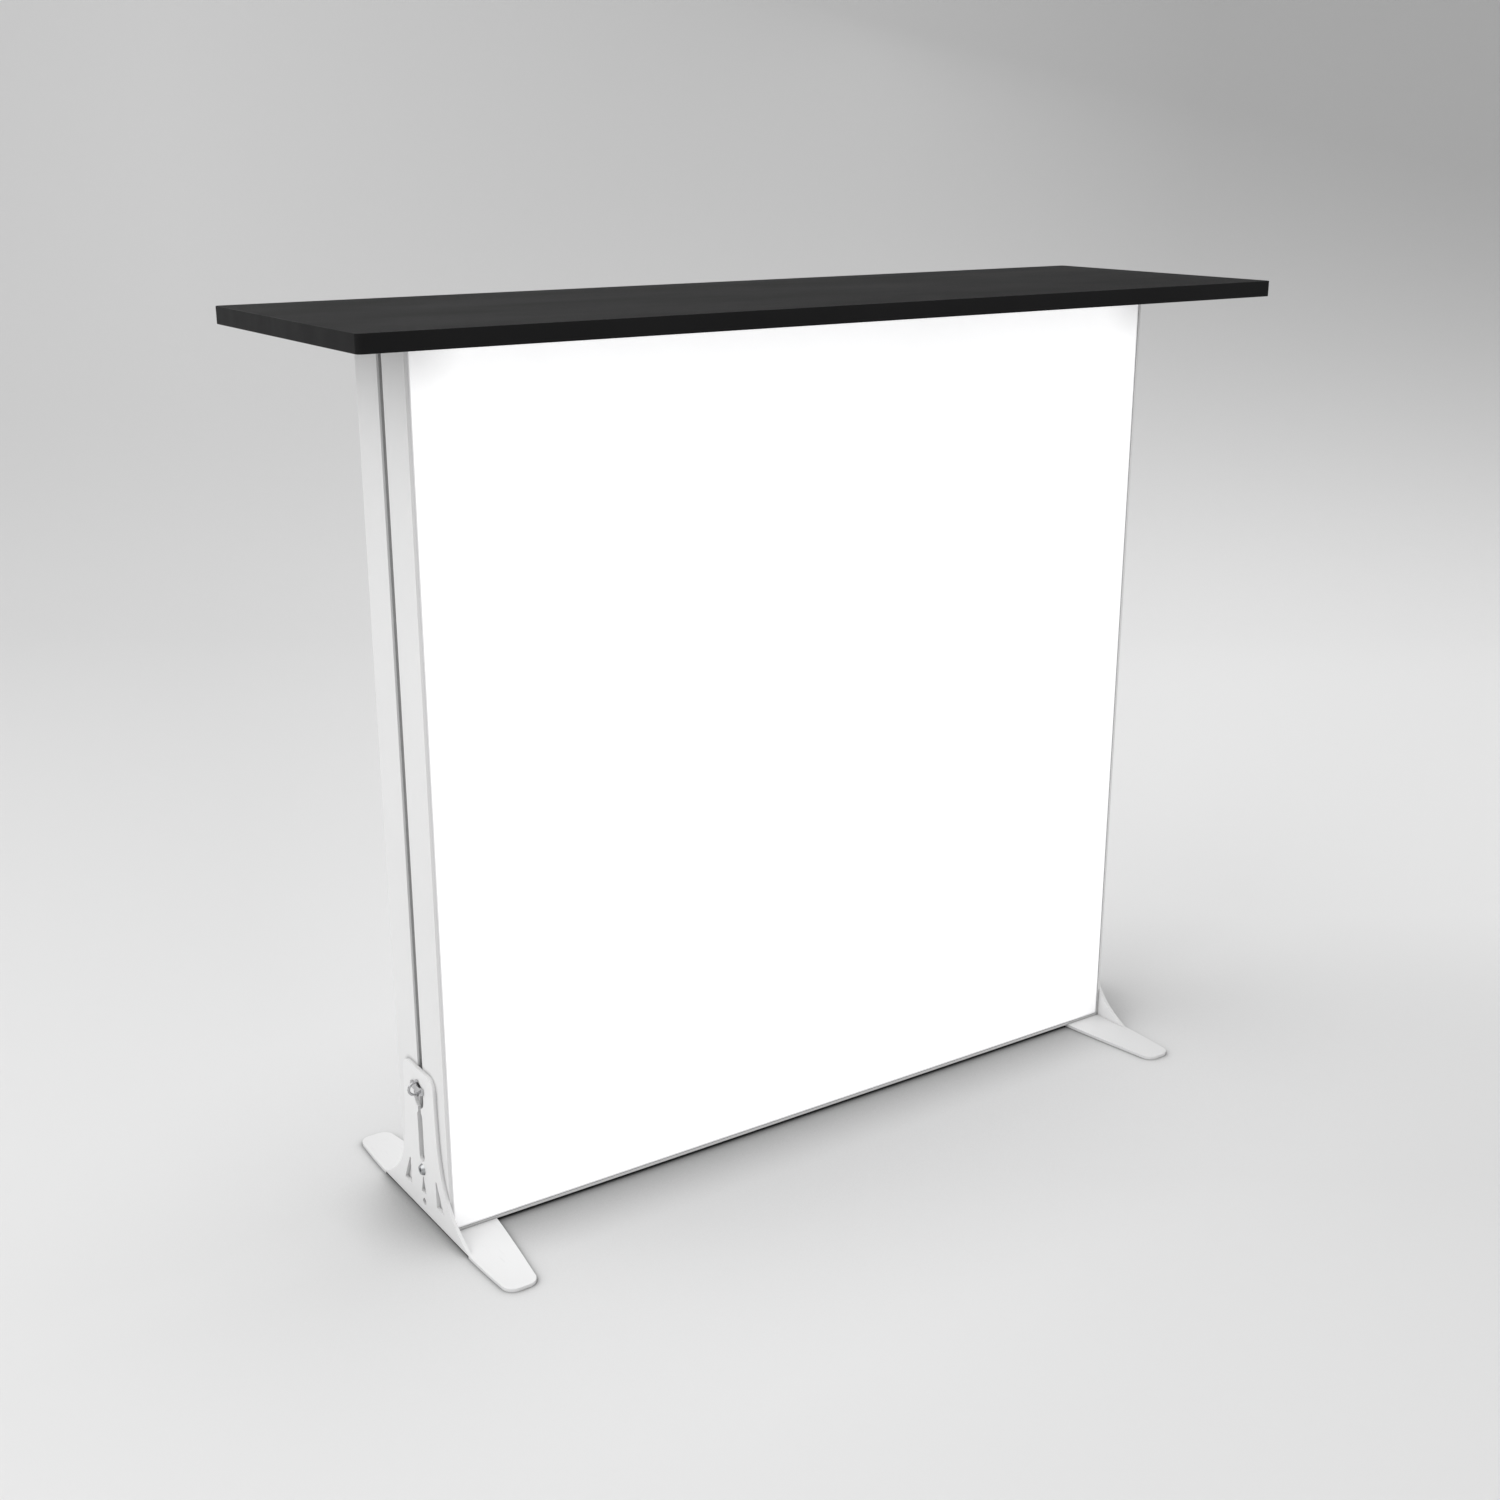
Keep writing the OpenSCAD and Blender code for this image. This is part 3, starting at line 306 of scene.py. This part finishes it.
def fibreboard(name, look):
    material, tree, shader = startMaterial(name, {"Roughness": look["rough"]})
    place = objectPlace(tree, (1.0, 1.0, 4.0))
    fibre = blotches(tree, place, look["fibre"], 6.0)
    flakes = addNode(tree, "ShaderNodeTexVoronoi", {"Vector": place, "Scale": 1.0 / (3 * look["fibre"])})
    flake = addNode(tree, "ShaderNodeSeparateColor", {"Color": flakes.outputs["Color"]}).outputs[0]
    tint = calc(tree, "MULTIPLY", fibre, flake)
    colour = mixTones(tree, between(tree, tint, 0.0, 1.0, 0.0, 0.6), look["deep"], look["pale"])
    plug(tree, shader.inputs["Base Color"], colour)
    relief(tree, shader, fibre, look["fibreDepth"])
    return material


# lamp boards with their copper lines under white lacquer, and the lamps' lenses
lacquerLook = {
    "lacquer": (0.82, 0.82, 0.79),
    "line": (0.70, 0.70, 0.65),
    "lineGap": 0.0042,  # from one copper line to the next
    "lineDepth": 0.00004,
    "cloud": 0.004,  # width of the unevenness in its gloss
    "rough": (0.2, 0.34),
    "shine": 0.55,
}
lensLook = {
    "clear": (0.92, 0.95, 0.97),
    "dull": (0.84, 0.88, 0.9),
    "haze": 0.003,  # width of one hazy place
    "rough": (0.04, 0.12),
    "bending": 1.49,  # refractive index of acrylic
    "through": 0.85,  # share of the light that goes through
}


def lampBoard(name, look):
    material, tree, shader = startMaterial(name, {"Specular IOR Level": look["shine"]})
    place = objectPlace(tree)
    waves = {"Vector": place, "Scale": 1.0 / look["lineGap"] / 2.0}
    lines = addNode(tree, "ShaderNodeTexWave", waves, bands_direction="Y")
    raised = between(tree, lines.outputs["Fac"], 0.0, 1.0, 0.45, 0.55)
    plug(tree, shader.inputs["Base Color"], mixTones(tree, raised, look["lacquer"], look["line"]))
    plug(tree, shader.inputs["Roughness"], between(tree, blotches(tree, place, look["cloud"]), *look["rough"]))
    relief(tree, shader, raised, look["lineDepth"])
    return material


def lensPlastic(name, look):
    optics = {"IOR": look["bending"], "Transmission Weight": look["through"]}
    material, tree, shader = startMaterial(name, optics)
    place = objectPlace(tree)
    haze = blotches(tree, place, look["haze"], 3.0)
    colour = mixTones(tree, between(tree, haze, 0.0, 1.0), look["clear"], look["dull"])
    plug(tree, shader.inputs["Base Color"], colour)
    plug(tree, shader.inputs["Roughness"], between(tree, haze, *look["rough"]))
    return material


# the backlit stretch knit
knitLook = {
    "yarn": (0.90, 0.90, 0.90),
    "gap": (0.82, 0.82, 0.83),
    "wale": 0.00062,  # from one column of loops to the next
    "course": 0.00050,  # from one row of loops to the next
    "glow": 0.72,
    "glowEdge": 0.38,  # glow in the corners
    "fade": 0.060,  # how far from a corner the glow is still falling
    "hem": 0.0026,  # border that the silicone strip behind it keeps from glowing
    "hemGlow": 0.12,
    "bend": 0.35,  # how far a loop leans out of its row
    "slub": (0.004, 0.3),  # width and height of thick places in the yarn
    "cloud": (0.22, 0.97, 1.03),  # width, least and most of the slow change in the glow
    "loopGlow": (0.94, 1.02),  # glow between the loops and on them
    "loopDepth": 0.00012,
    "rough": 0.8,
    "shine": 0.25,
}
clothLow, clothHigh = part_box("front_fabric")
clothSize = clothHigh - clothLow
clothMiddle = (clothHigh + clothLow) / 2


def backlitKnit(name, look):
    even = {"Roughness": look["rough"], "Specular IOR Level": look["shine"]}
    material, tree, shader = startMaterial(name, even)
    where = addNode(tree, "ShaderNodeTexCoord").outputs["Object"]
    spot = addNode(tree, "ShaderNodeSeparateXYZ", {"Vector": where})
    column = calc(tree, "SINE", calc(tree, "MULTIPLY", spot.outputs[0], 2 * math.pi / look["wale"]))
    ridge = calc(tree, "ABSOLUTE", column)
    bend = calc(tree, "MULTIPLY", ridge, look["bend"])
    along = calc(tree, "ADD", calc(tree, "MULTIPLY", spot.outputs[2], 2 * math.pi / look["course"]), bend)
    loops = calc(tree, "MULTIPLY", ridge, calc(tree, "ABSOLUTE", calc(tree, "SINE", along)))
    slubWidth, slubHeight = look["slub"]
    slub = blotches(tree, where, slubWidth, 3.0)
    height = calc(tree, "ADD", loops, calc(tree, "MULTIPLY", slub, slubHeight))
    tone = mixTones(tree, height, look["gap"], look["yarn"])
    fromSide = calc(tree, "SUBTRACT", clothSize.x / 2, calc(tree, "ABSOLUTE", spot.outputs[0]))
    level = calc(tree, "SUBTRACT", spot.outputs[2], clothMiddle.z)
    fromEnd = calc(tree, "SUBTRACT", clothSize.z / 2, calc(tree, "ABSOLUTE", level))
    squares = calc(tree, "ADD", calc(tree, "POWER", fromSide, 2.0), calc(tree, "POWER", fromEnd, 2.0))
    fromCorner = calc(tree, "SQRT", squares)
    inward = between(tree, fromCorner, look["glowEdge"], look["glow"], 0.0, look["fade"])
    fromEdge = calc(tree, "MINIMUM", fromSide, fromEnd)
    hem = between(tree, fromEdge, look["hemGlow"], 1.0, look["hem"] * 0.5, look["hem"])
    inward = calc(tree, "MULTIPLY", inward, hem)
    cloudWidth, cloudLeast, cloudMost = look["cloud"]
    cloud = between(tree, blotches(tree, where, cloudWidth, 2.0), cloudLeast, cloudMost)
    loopGlow = between(tree, height, *look["loopGlow"], 0.0, 1.0 + slubHeight)
    glow = calc(tree, "MULTIPLY", calc(tree, "MULTIPLY", inward, cloud), loopGlow)
    plug(tree, shader.inputs["Base Color"], tone)
    plug(tree, shader.inputs["Emission Color"], tone)
    plug(tree, shader.inputs["Emission Strength"], glow)
    relief(tree, shader, height, look["loopDepth"])
    return material


finishes = {
    "frame_white": paintedMetal("frameWhite", framePaint),
    "foot_white": paintedMetal("footWhite", footPaint),
    "lit_fabric": backlitKnit("litKnit", knitLook),
    "black_laminate": laminate("blackLaminate", laminateLook),
    "black_edge": laminate("blackEdgeBand", bandLook),
    "board_core": fibreboard("fibreboard", boardLook),
    "lamp_board": lampBoard("lampBoard", lacquerLook),
    "lens_clear": lensPlastic("lensClear", lensLook),
}
for slotName, look in metalLooks.items():
    finishes[slotName] = bareMetal(slotName, look)
for slotName, look in mouldedLooks.items():
    finishes[slotName] = mouldedPlastic(slotName, look)
print("%d finishes made" % len(finishes))

slotOf = {part["node"]: part["material_slot"] for part in frame["record"]["subparts"]}


def paint(thing, slotName):
    thing.data.materials.clear()
    thing.data.materials.append(finishes[slotName])


for name, node in nodes.items():
    paint(node, slotOf[name])
print("every CAD node painted")


# rigid parts whose edges a maker breaks: the same solid with its sharp edges eased
sharpFrom = math.radians(40)  # edges at least this sharp are eased
creaseFrom = math.radians(38)  # edges that stay a crease in the shading
flatWithin = math.radians(0.3)  # faces this nearly level with each other become one
easing = {
    "foot_left": {"name": "footLeft", "width": 0.55 * mm, "steps": 3},
    "foot_right": {"name": "footRight", "width": 0.55 * mm, "steps": 3},
    "top_laminate": {"name": "topSurface", "width": 0.15 * mm, "steps": 2},
    "edge_band": {"name": "edgeBand", "width": 0.7 * mm, "steps": 3},
}


def settle(piece, name):  # keeps what the modifiers make and drops them
    bpy.context.view_layer.update()
    plain = bpy.data.meshes.new_from_object(piece.evaluated_get(bpy.context.evaluated_depsgraph_get()))
    piece.modifiers.clear()
    piece.data = plain
    plain.name = name


def easedPiece(nodeName, look, chosen=lambda edge: True):
    work = bmesh.new()
    work.from_mesh(nodes[nodeName].data)
    bmesh.ops.remove_doubles(work, verts=work.verts, dist=1e-6)
    bmesh.ops.dissolve_limit(
        work, angle_limit=flatWithin, verts=work.verts, edges=work.edges, use_dissolve_boundaries=False
    )
    sharp = [
        edge for edge in work.edges
        if len(edge.link_faces) == 2 and edge.calc_face_angle(0.0) > sharpFrom and chosen(edge)
    ]
    bmesh.ops.bevel(
        work, geom=sharp, offset=look["width"], segments=look["steps"], profile=0.5, affect="EDGES",
        offset_type="OFFSET", clamp_overlap=True,
    )
    mesh = bpy.data.meshes.new(look["name"])
    work.to_mesh(mesh)
    work.free()
    piece = addObject(look["name"], mesh)
    mesh.shade_smooth()
    mesh.set_sharp_from_angle(angle=creaseFrom)
    weighing = piece.modifiers.new("weighNormals", "WEIGHTED_NORMAL")
    weighing.keep_sharp = True
    settle(piece, look["name"])
    paint(piece, slotOf[nodeName])
    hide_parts(nodeName)
    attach(piece, "counter")


# only the band's outer rim is eased, along its straight sides and round its corners
bandLow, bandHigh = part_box("edge_band")
rimLook = {
    "side": 0.5 * mm,  # how near to the outline counts as on it
    "zone": 6.5 * mm,  # how far from both sides a corner reaches
    "centre": 5.5 * mm,  # from both sides to the centre of a corner
    "round": 5.0 * mm,  # least distance from that centre
    "level": 0.01 * mm,
}


def onRim(edge):
    for corner in edge.verts:
        x, y, _ = corner.co
        nearX = min(x - bandLow.x, bandHigh.x - x)
        nearY = min(y - bandLow.y, bandHigh.y - y)
        if min(nearX, nearY) < rimLook["side"]:
            continue
        fromCentre = math.hypot(rimLook["centre"] - nearX, rimLook["centre"] - nearY)
        if max(nearX, nearY) < rimLook["zone"] and fromCentre > rimLook["round"]:
            continue
        return False
    return abs(edge.verts[0].co.z - edge.verts[1].co.z) < rimLook["level"]


for nodeName, look in easing.items():
    if nodeName == "edge_band":
        easedPiece(nodeName, look, onRim)
    else:
        easedPiece(nodeName, look)
print("eased pieces made")


# geometry-node trees
def startTree(name, sizes):
    tree = bpy.data.node_groups.new(name, "GeometryNodeTree")
    tree.interface.new_socket("Geometry", in_out="OUTPUT", socket_type="NodeSocketGeometry")
    for label in sizes:
        tree.interface.new_socket(label, in_out="INPUT", socket_type="NodeSocketFloat")
    return tree, addNode(tree, "NodeGroupInput").outputs, addNode(tree, "NodeGroupOutput").inputs[0]


def pointPlace(tree):
    point = addNode(tree, "GeometryNodeInputPosition").outputs[0]
    return addNode(tree, "ShaderNodeSeparateXYZ", {"Vector": point}).outputs


def finishTree(tree, geometry, made):
    real = addNode(tree, "GeometryNodeRealizeInstances", {"Geometry": geometry})
    settings = {"Geometry": real.outputs[0], "Material": finishes["lit_fabric"]}
    tree.links.new(addNode(tree, "GeometryNodeSetMaterial", settings).outputs[0], made)


def runTree(tree, name, sizes):
    piece = addObject(name, bpy.data.meshes.new(name + "Start"))
    modifier = piece.modifiers.new(name, "NODES")
    modifier.node_group = tree
    for item in tree.interface.items_tree:
        if item.in_out == "INPUT" and item.name in sizes:
            modifier[item.identifier] = float(sizes[item.name])
    settle(piece, name)
    return piece


# fabric panels: flat on the frame's seats, and rolled over into the channel at their edges
panelSizes = {
    "Width": clothSize.x,
    "Height": clothSize.z,
    "Thickness": clothSize.y,
    "Roll": 0.0018,  # width of the rolled edge
    "Drop": 0.00036,  # how far the rolled edge goes down
    "Seat": -clothHigh.y,
    "Centre": clothMiddle.z,
}
panelPoints = 61  # points of the panel's grid along each side
flatShare = 0.8  # share of the grid that stays flat, from the middle outwards


def panelTree(sizes):
    tree, given, made = startTree("stretchedPanel", sizes)
    gridSizes = {"Size X": 2.0, "Size Y": 2.0, "Vertices X": panelPoints, "Vertices Y": panelPoints}
    grid = addNode(tree, "GeometryNodeMeshGrid", gridSizes)
    spot = pointPlace(tree)

    def spread(along, size):
        far = calc(tree, "ABSOLUTE", spot[along])
        flat = calc(tree, "SUBTRACT", calc(tree, "MULTIPLY", given[size], 0.5), given["Roll"])
        inner = calc(tree, "MULTIPLY", between(tree, far, 0.0, 1.0, 0.0, flatShare), flat)
        outer = calc(tree, "MULTIPLY", between(tree, far, 0.0, 1.0, flatShare, 1.0), given["Roll"])
        return calc(tree, "MULTIPLY", calc(tree, "ADD", inner, outer), calc(tree, "SIGN", spot[along]))

    place = addNode(tree, "ShaderNodeCombineXYZ", {
        "X": spread(0, "Width"),
        "Y": calc(tree, "MULTIPLY", given["Seat"], -1.0),
        "Z": calc(tree, "ADD", spread(1, "Height"), given["Centre"]),
    })
    laid = addNode(tree, "GeometryNodeSetPosition", {
        "Geometry": grid.outputs["Mesh"], "Position": place.outputs[0],
    })
    thick = addNode(tree, "GeometryNodeExtrudeMesh", {
        "Mesh": laid.outputs[0], "Offset": (0.0, -1.0, 0.0), "Offset Scale": given["Thickness"],
        "Individual": False,
    })
    here = pointPlace(tree)

    def toEdge(along, size, shift=None):
        far = here[along] if shift is None else calc(tree, "SUBTRACT", here[along], shift)
        return calc(tree, "SUBTRACT", calc(tree, "MULTIPLY", given[size], 0.5), calc(tree, "ABSOLUTE", far))

    # a quarter round: nothing at the inner end of the roll, the full drop at the edge
    near = calc(tree, "MINIMUM", toEdge(0, "Width"), toEdge(2, "Height", given["Centre"]))
    share = calc(tree, "SUBTRACT", 1.0, calc(tree, "MINIMUM", calc(tree, "DIVIDE", near, given["Roll"]), 1.0))
    rest = calc(tree, "SUBTRACT", 1.0, calc(tree, "MULTIPLY", share, share))
    curve = calc(tree, "SUBTRACT", 1.0, calc(tree, "SQRT", calc(tree, "MAXIMUM", rest, 0.0)))
    sink = addNode(tree, "ShaderNodeCombineXYZ", {"Y": calc(tree, "MULTIPLY", curve, given["Drop"])})
    rolled = addNode(tree, "GeometryNodeSetPosition", {
        "Geometry": thick.outputs["Mesh"], "Selection": thick.outputs["Top"], "Offset": sink.outputs[0],
    })
    finishTree(tree, rolled.outputs[0], made)
    return tree


# stitches that sew the silicone strip to the fabric's edge
stitchSizes = {
    "Width": clothSize.x,
    "Height": clothSize.z,
    "Inset": 0.0023,  # from the fabric's edge to the seam
    "Pitch": 0.0032,
    "Length": 0.0022,
    "Thread": 0.00032,
    "Face": -clothLow.y,
    "Centre": clothMiddle.z,
}


def stitchTree(sizes):
    tree, given, made = startTree("edgeSeam", sizes)

    def inside(size):
        return calc(tree, "SUBTRACT", given[size], calc(tree, "MULTIPLY", given["Inset"], 2.0))

    path = addNode(tree, "GeometryNodeCurvePrimitiveQuadrilateral", {
        "Width": inside("Width"), "Height": inside("Height"),
    })
    points = addNode(tree, "GeometryNodeResampleCurve", {
        "Curve": path.outputs[0], "Length": given["Pitch"],
    }, mode="LENGTH")
    aim = addNode(tree, "FunctionNodeAlignRotationToVector", {
        "Vector": addNode(tree, "GeometryNodeInputTangent").outputs[0],
    }, axis="X")
    knot = addNode(tree, "GeometryNodeMeshUVSphere", {"Segments": 6, "Rings": 4, "Radius": 0.5})
    size = addNode(tree, "ShaderNodeCombineXYZ", {
        "X": given["Length"], "Y": given["Thread"], "Z": given["Thread"],
    })
    shaped = addNode(tree, "GeometryNodeTransform", {
        "Geometry": knot.outputs["Mesh"], "Scale": size.outputs[0],
    })
    laid = addNode(tree, "GeometryNodeInstanceOnPoints", {
        "Points": points.outputs[0], "Instance": shaped.outputs[0], "Rotation": aim.outputs[0],
    })
    upright = addNode(tree, "ShaderNodeCombineXYZ", {
        "Y": calc(tree, "MULTIPLY", given["Face"], -1.0), "Z": given["Centre"],
    })
    stood = addNode(tree, "GeometryNodeTransform", {
        "Geometry": laid.outputs[0], "Translation": upright.outputs[0], "Rotation": (math.pi / 2, 0.0, 0.0),
    })
    finishTree(tree, stood.outputs[0], made)
    return tree


clothCrease = math.radians(50)
panelNodes = panelTree(panelSizes)
seamNodes = stitchTree(stitchSizes)
for side, nodeName in (("front", "front_fabric"), ("back", "back_fabric")):
    panel = runTree(panelNodes, side + "Panel", panelSizes)
    seam = runTree(seamNodes, side + "Seam", stitchSizes)
    for piece in (panel, seam):
        if side == "back":
            piece.data.transform(Matrix.Rotation(math.pi, 4, "Z"))
        piece.data.shade_smooth()
        piece.data.set_sharp_from_angle(angle=clothCrease)
        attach(piece, "counter")
    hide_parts(nodeName)
print("fabric panels and their seams made")


# studio: a pale sweep behind and under the counter
sweepLook = {
    "front": -4.5,  # metres from the middle of the counter, towards the camera
    "wall": 4.6,  # metres to where the paper stands upright
    "bend": 2.2,  # radius of its bend
    "top": 5.0,
    "half": 10.0,  # half of its width
    # tones near, in the middle and far off, and the distances over which they change; they paint the fall of
    # light and shade across the paper, darkest far off on the right
    "left": {"near": 0.752, "middle": 0.770, "far": 0.690, "rise": (-0.9, 1.4), "fall": (2.2, 4.2)},
    "right": {"near": 0.745, "middle": 0.885, "far": 0.478, "rise": (-0.2, 0.6), "fall": (1.9, 5.5)},
    "turnover": (-0.30, 0.22),  # slopes, seen from the front, between which left becomes right
    "viewer": 2.2,  # metres from the middle of the counter to where those slopes start
    "shades": (  # reach, depth and lean of the dark on the floor beside what stands on it
        (0.012, 0.4, (0.0, 0.6, 0.8)),
        (0.10, 0.75, (-0.7, 0.5, 0.5)),
        (0.45, 0.45, (-0.7, 0.62, 0.36)),
    ),
    "bendSteps": 24,
    "rough": 0.9,
    "shine": 0.1,
}


def makeSweep(look):
    bend, bendStart, steps = look["bend"], look["wall"] - look["bend"], look["bendSteps"]
    line = [(look["front"], 0.0), (bendStart, 0.0)]
    for i in range(1, steps + 1):
        angle = math.pi / 2 * i / steps
        line.append((bendStart + bend * math.sin(angle), bend * (1 - math.cos(angle))))
    line.append((look["wall"], look["top"]))
    ahead = Vector((math.sin(viewpoint["turn"]), math.cos(viewpoint["turn"]), 0.0))
    right = Vector((ahead.y, -ahead.x, 0.0))
    mesh = bpy.data.meshes.new("sweep")
    corners, faces = [], []
    for far, height in line:
        for side in (-1, 1):
            corners.append(ahead * far + right * side * look["half"] + Vector((0, 0, height)))
    for i in range(len(line) - 1):
        faces.append((2 * i, 2 * i + 1, 2 * i + 3, 2 * i + 2))
    mesh.from_pydata(corners, [], faces)
    mesh.shade_smooth()
    sweep = addObject("sweep", mesh)
    even = {"Roughness": look["rough"], "Specular IOR Level": look["shine"]}
    material, tree, shader = startMaterial("sweepPaper", even)
    where = addNode(tree, "ShaderNodeTexCoord").outputs["Object"]

    def measured(way):
        return addNode(
            tree, "ShaderNodeVectorMath", {0: where, 1: tuple(way)}, operation="DOT_PRODUCT"
        ).outputs["Value"]

    distance, sideways = measured(ahead), measured(right)
    away = calc(tree, "ADD", distance, addNode(tree, "ShaderNodeSeparateXYZ", {"Vector": where}).outputs[2])

    # painted light and shade: the paper's tone along each side rises and falls with distance
    def toneAlong(side):
        rise = between(tree, away, side["near"], side["middle"], *side["rise"])
        fall = addNode(tree, "ShaderNodeMapRange", {
            "Value": away, "From Min": side["fall"][0], "From Max": side["fall"][1],
            "To Min": 0.0, "To Max": side["far"] - side["middle"]}, interpolation_type="SMOOTHSTEP")
        return calc(tree, "ADD", rise, fall.outputs[0])

    slope = calc(tree, "DIVIDE", sideways, calc(tree, "ADD", distance, look["viewer"]))
    tone = addNode(tree, "ShaderNodeMapRange", {
        "Value": slope, "From Min": look["turnover"][0], "From Max": look["turnover"][1],
        "To Min": toneAlong(look["left"]), "To Max": toneAlong(look["right"])}).outputs[0]
    for reach, depth, lean in look["shades"]:
        tone = calc(tree, "MULTIPLY", tone, openness(tree, reach, depth, Normal=lean))
    colour = addNode(tree, "ShaderNodeCombineXYZ", {"X": tone, "Y": tone, "Z": tone}).outputs[0]
    plug(tree, shader.inputs["Base Color"], colour)
    mesh.materials.append(material)


makeSweep(sweepLook)
print("sweep hung")

# light: an even sky, a large soft lamp up on the left and weak ones in front, low on the left and on the right
lightLook = {
    "sky": 0.71,
    "lamps": {  # only a mirrored lamp shows on the black top
        "softKey": {"place": (-2.7, 0.3, 3.3), "aim": (0.0, 0.0, 0.4),
                    "size": 4.6, "power": 76.0, "mirrored": True},
        "frontFill": {"place": (0.6, -3.6, 1.6), "aim": (0.0, 0.0, 0.3),
                      "size": 3.0, "power": 12.0, "mirrored": False},
        "lowFill": {"place": (-2.3, -0.7, 0.5), "aim": (-0.5, 0.0, 0.12),
                    "size": 1.0, "power": 4.0, "mirrored": False},
        "softFill": {"place": (2.6, 1.6, 2.6), "aim": (0.8, 0.4, 0.0),
                     "size": 3.0, "power": 15.0, "mirrored": False},
    },
}


def makeLight(look):
    world = bpy.data.worlds.new("studioSky")
    bpy.context.scene.world = world
    world.use_nodes = True
    sky = world.node_tree.nodes["Background"]
    sky.inputs["Color"].default_value = (1.0, 1.0, 1.0, 1.0)
    sky.inputs["Strength"].default_value = look["sky"]
    for name, sizes in look["lamps"].items():
        data = bpy.data.lights.new(name, "AREA")
        data.size = sizes["size"]
        data.energy = sizes["power"]
        lamp = bpy.data.objects.new(name, data)
        lamp.location = sizes["place"]
        lamp.visible_camera = False
        lamp.visible_glossy = sizes["mirrored"]
        lamp.rotation_euler = (Vector(sizes["aim"]) - lamp.location).to_track_quat("-Z", "Y").to_euler()
        bpy.context.scene.collection.objects.link(lamp)


makeLight(lightLook)
print("studio lit")
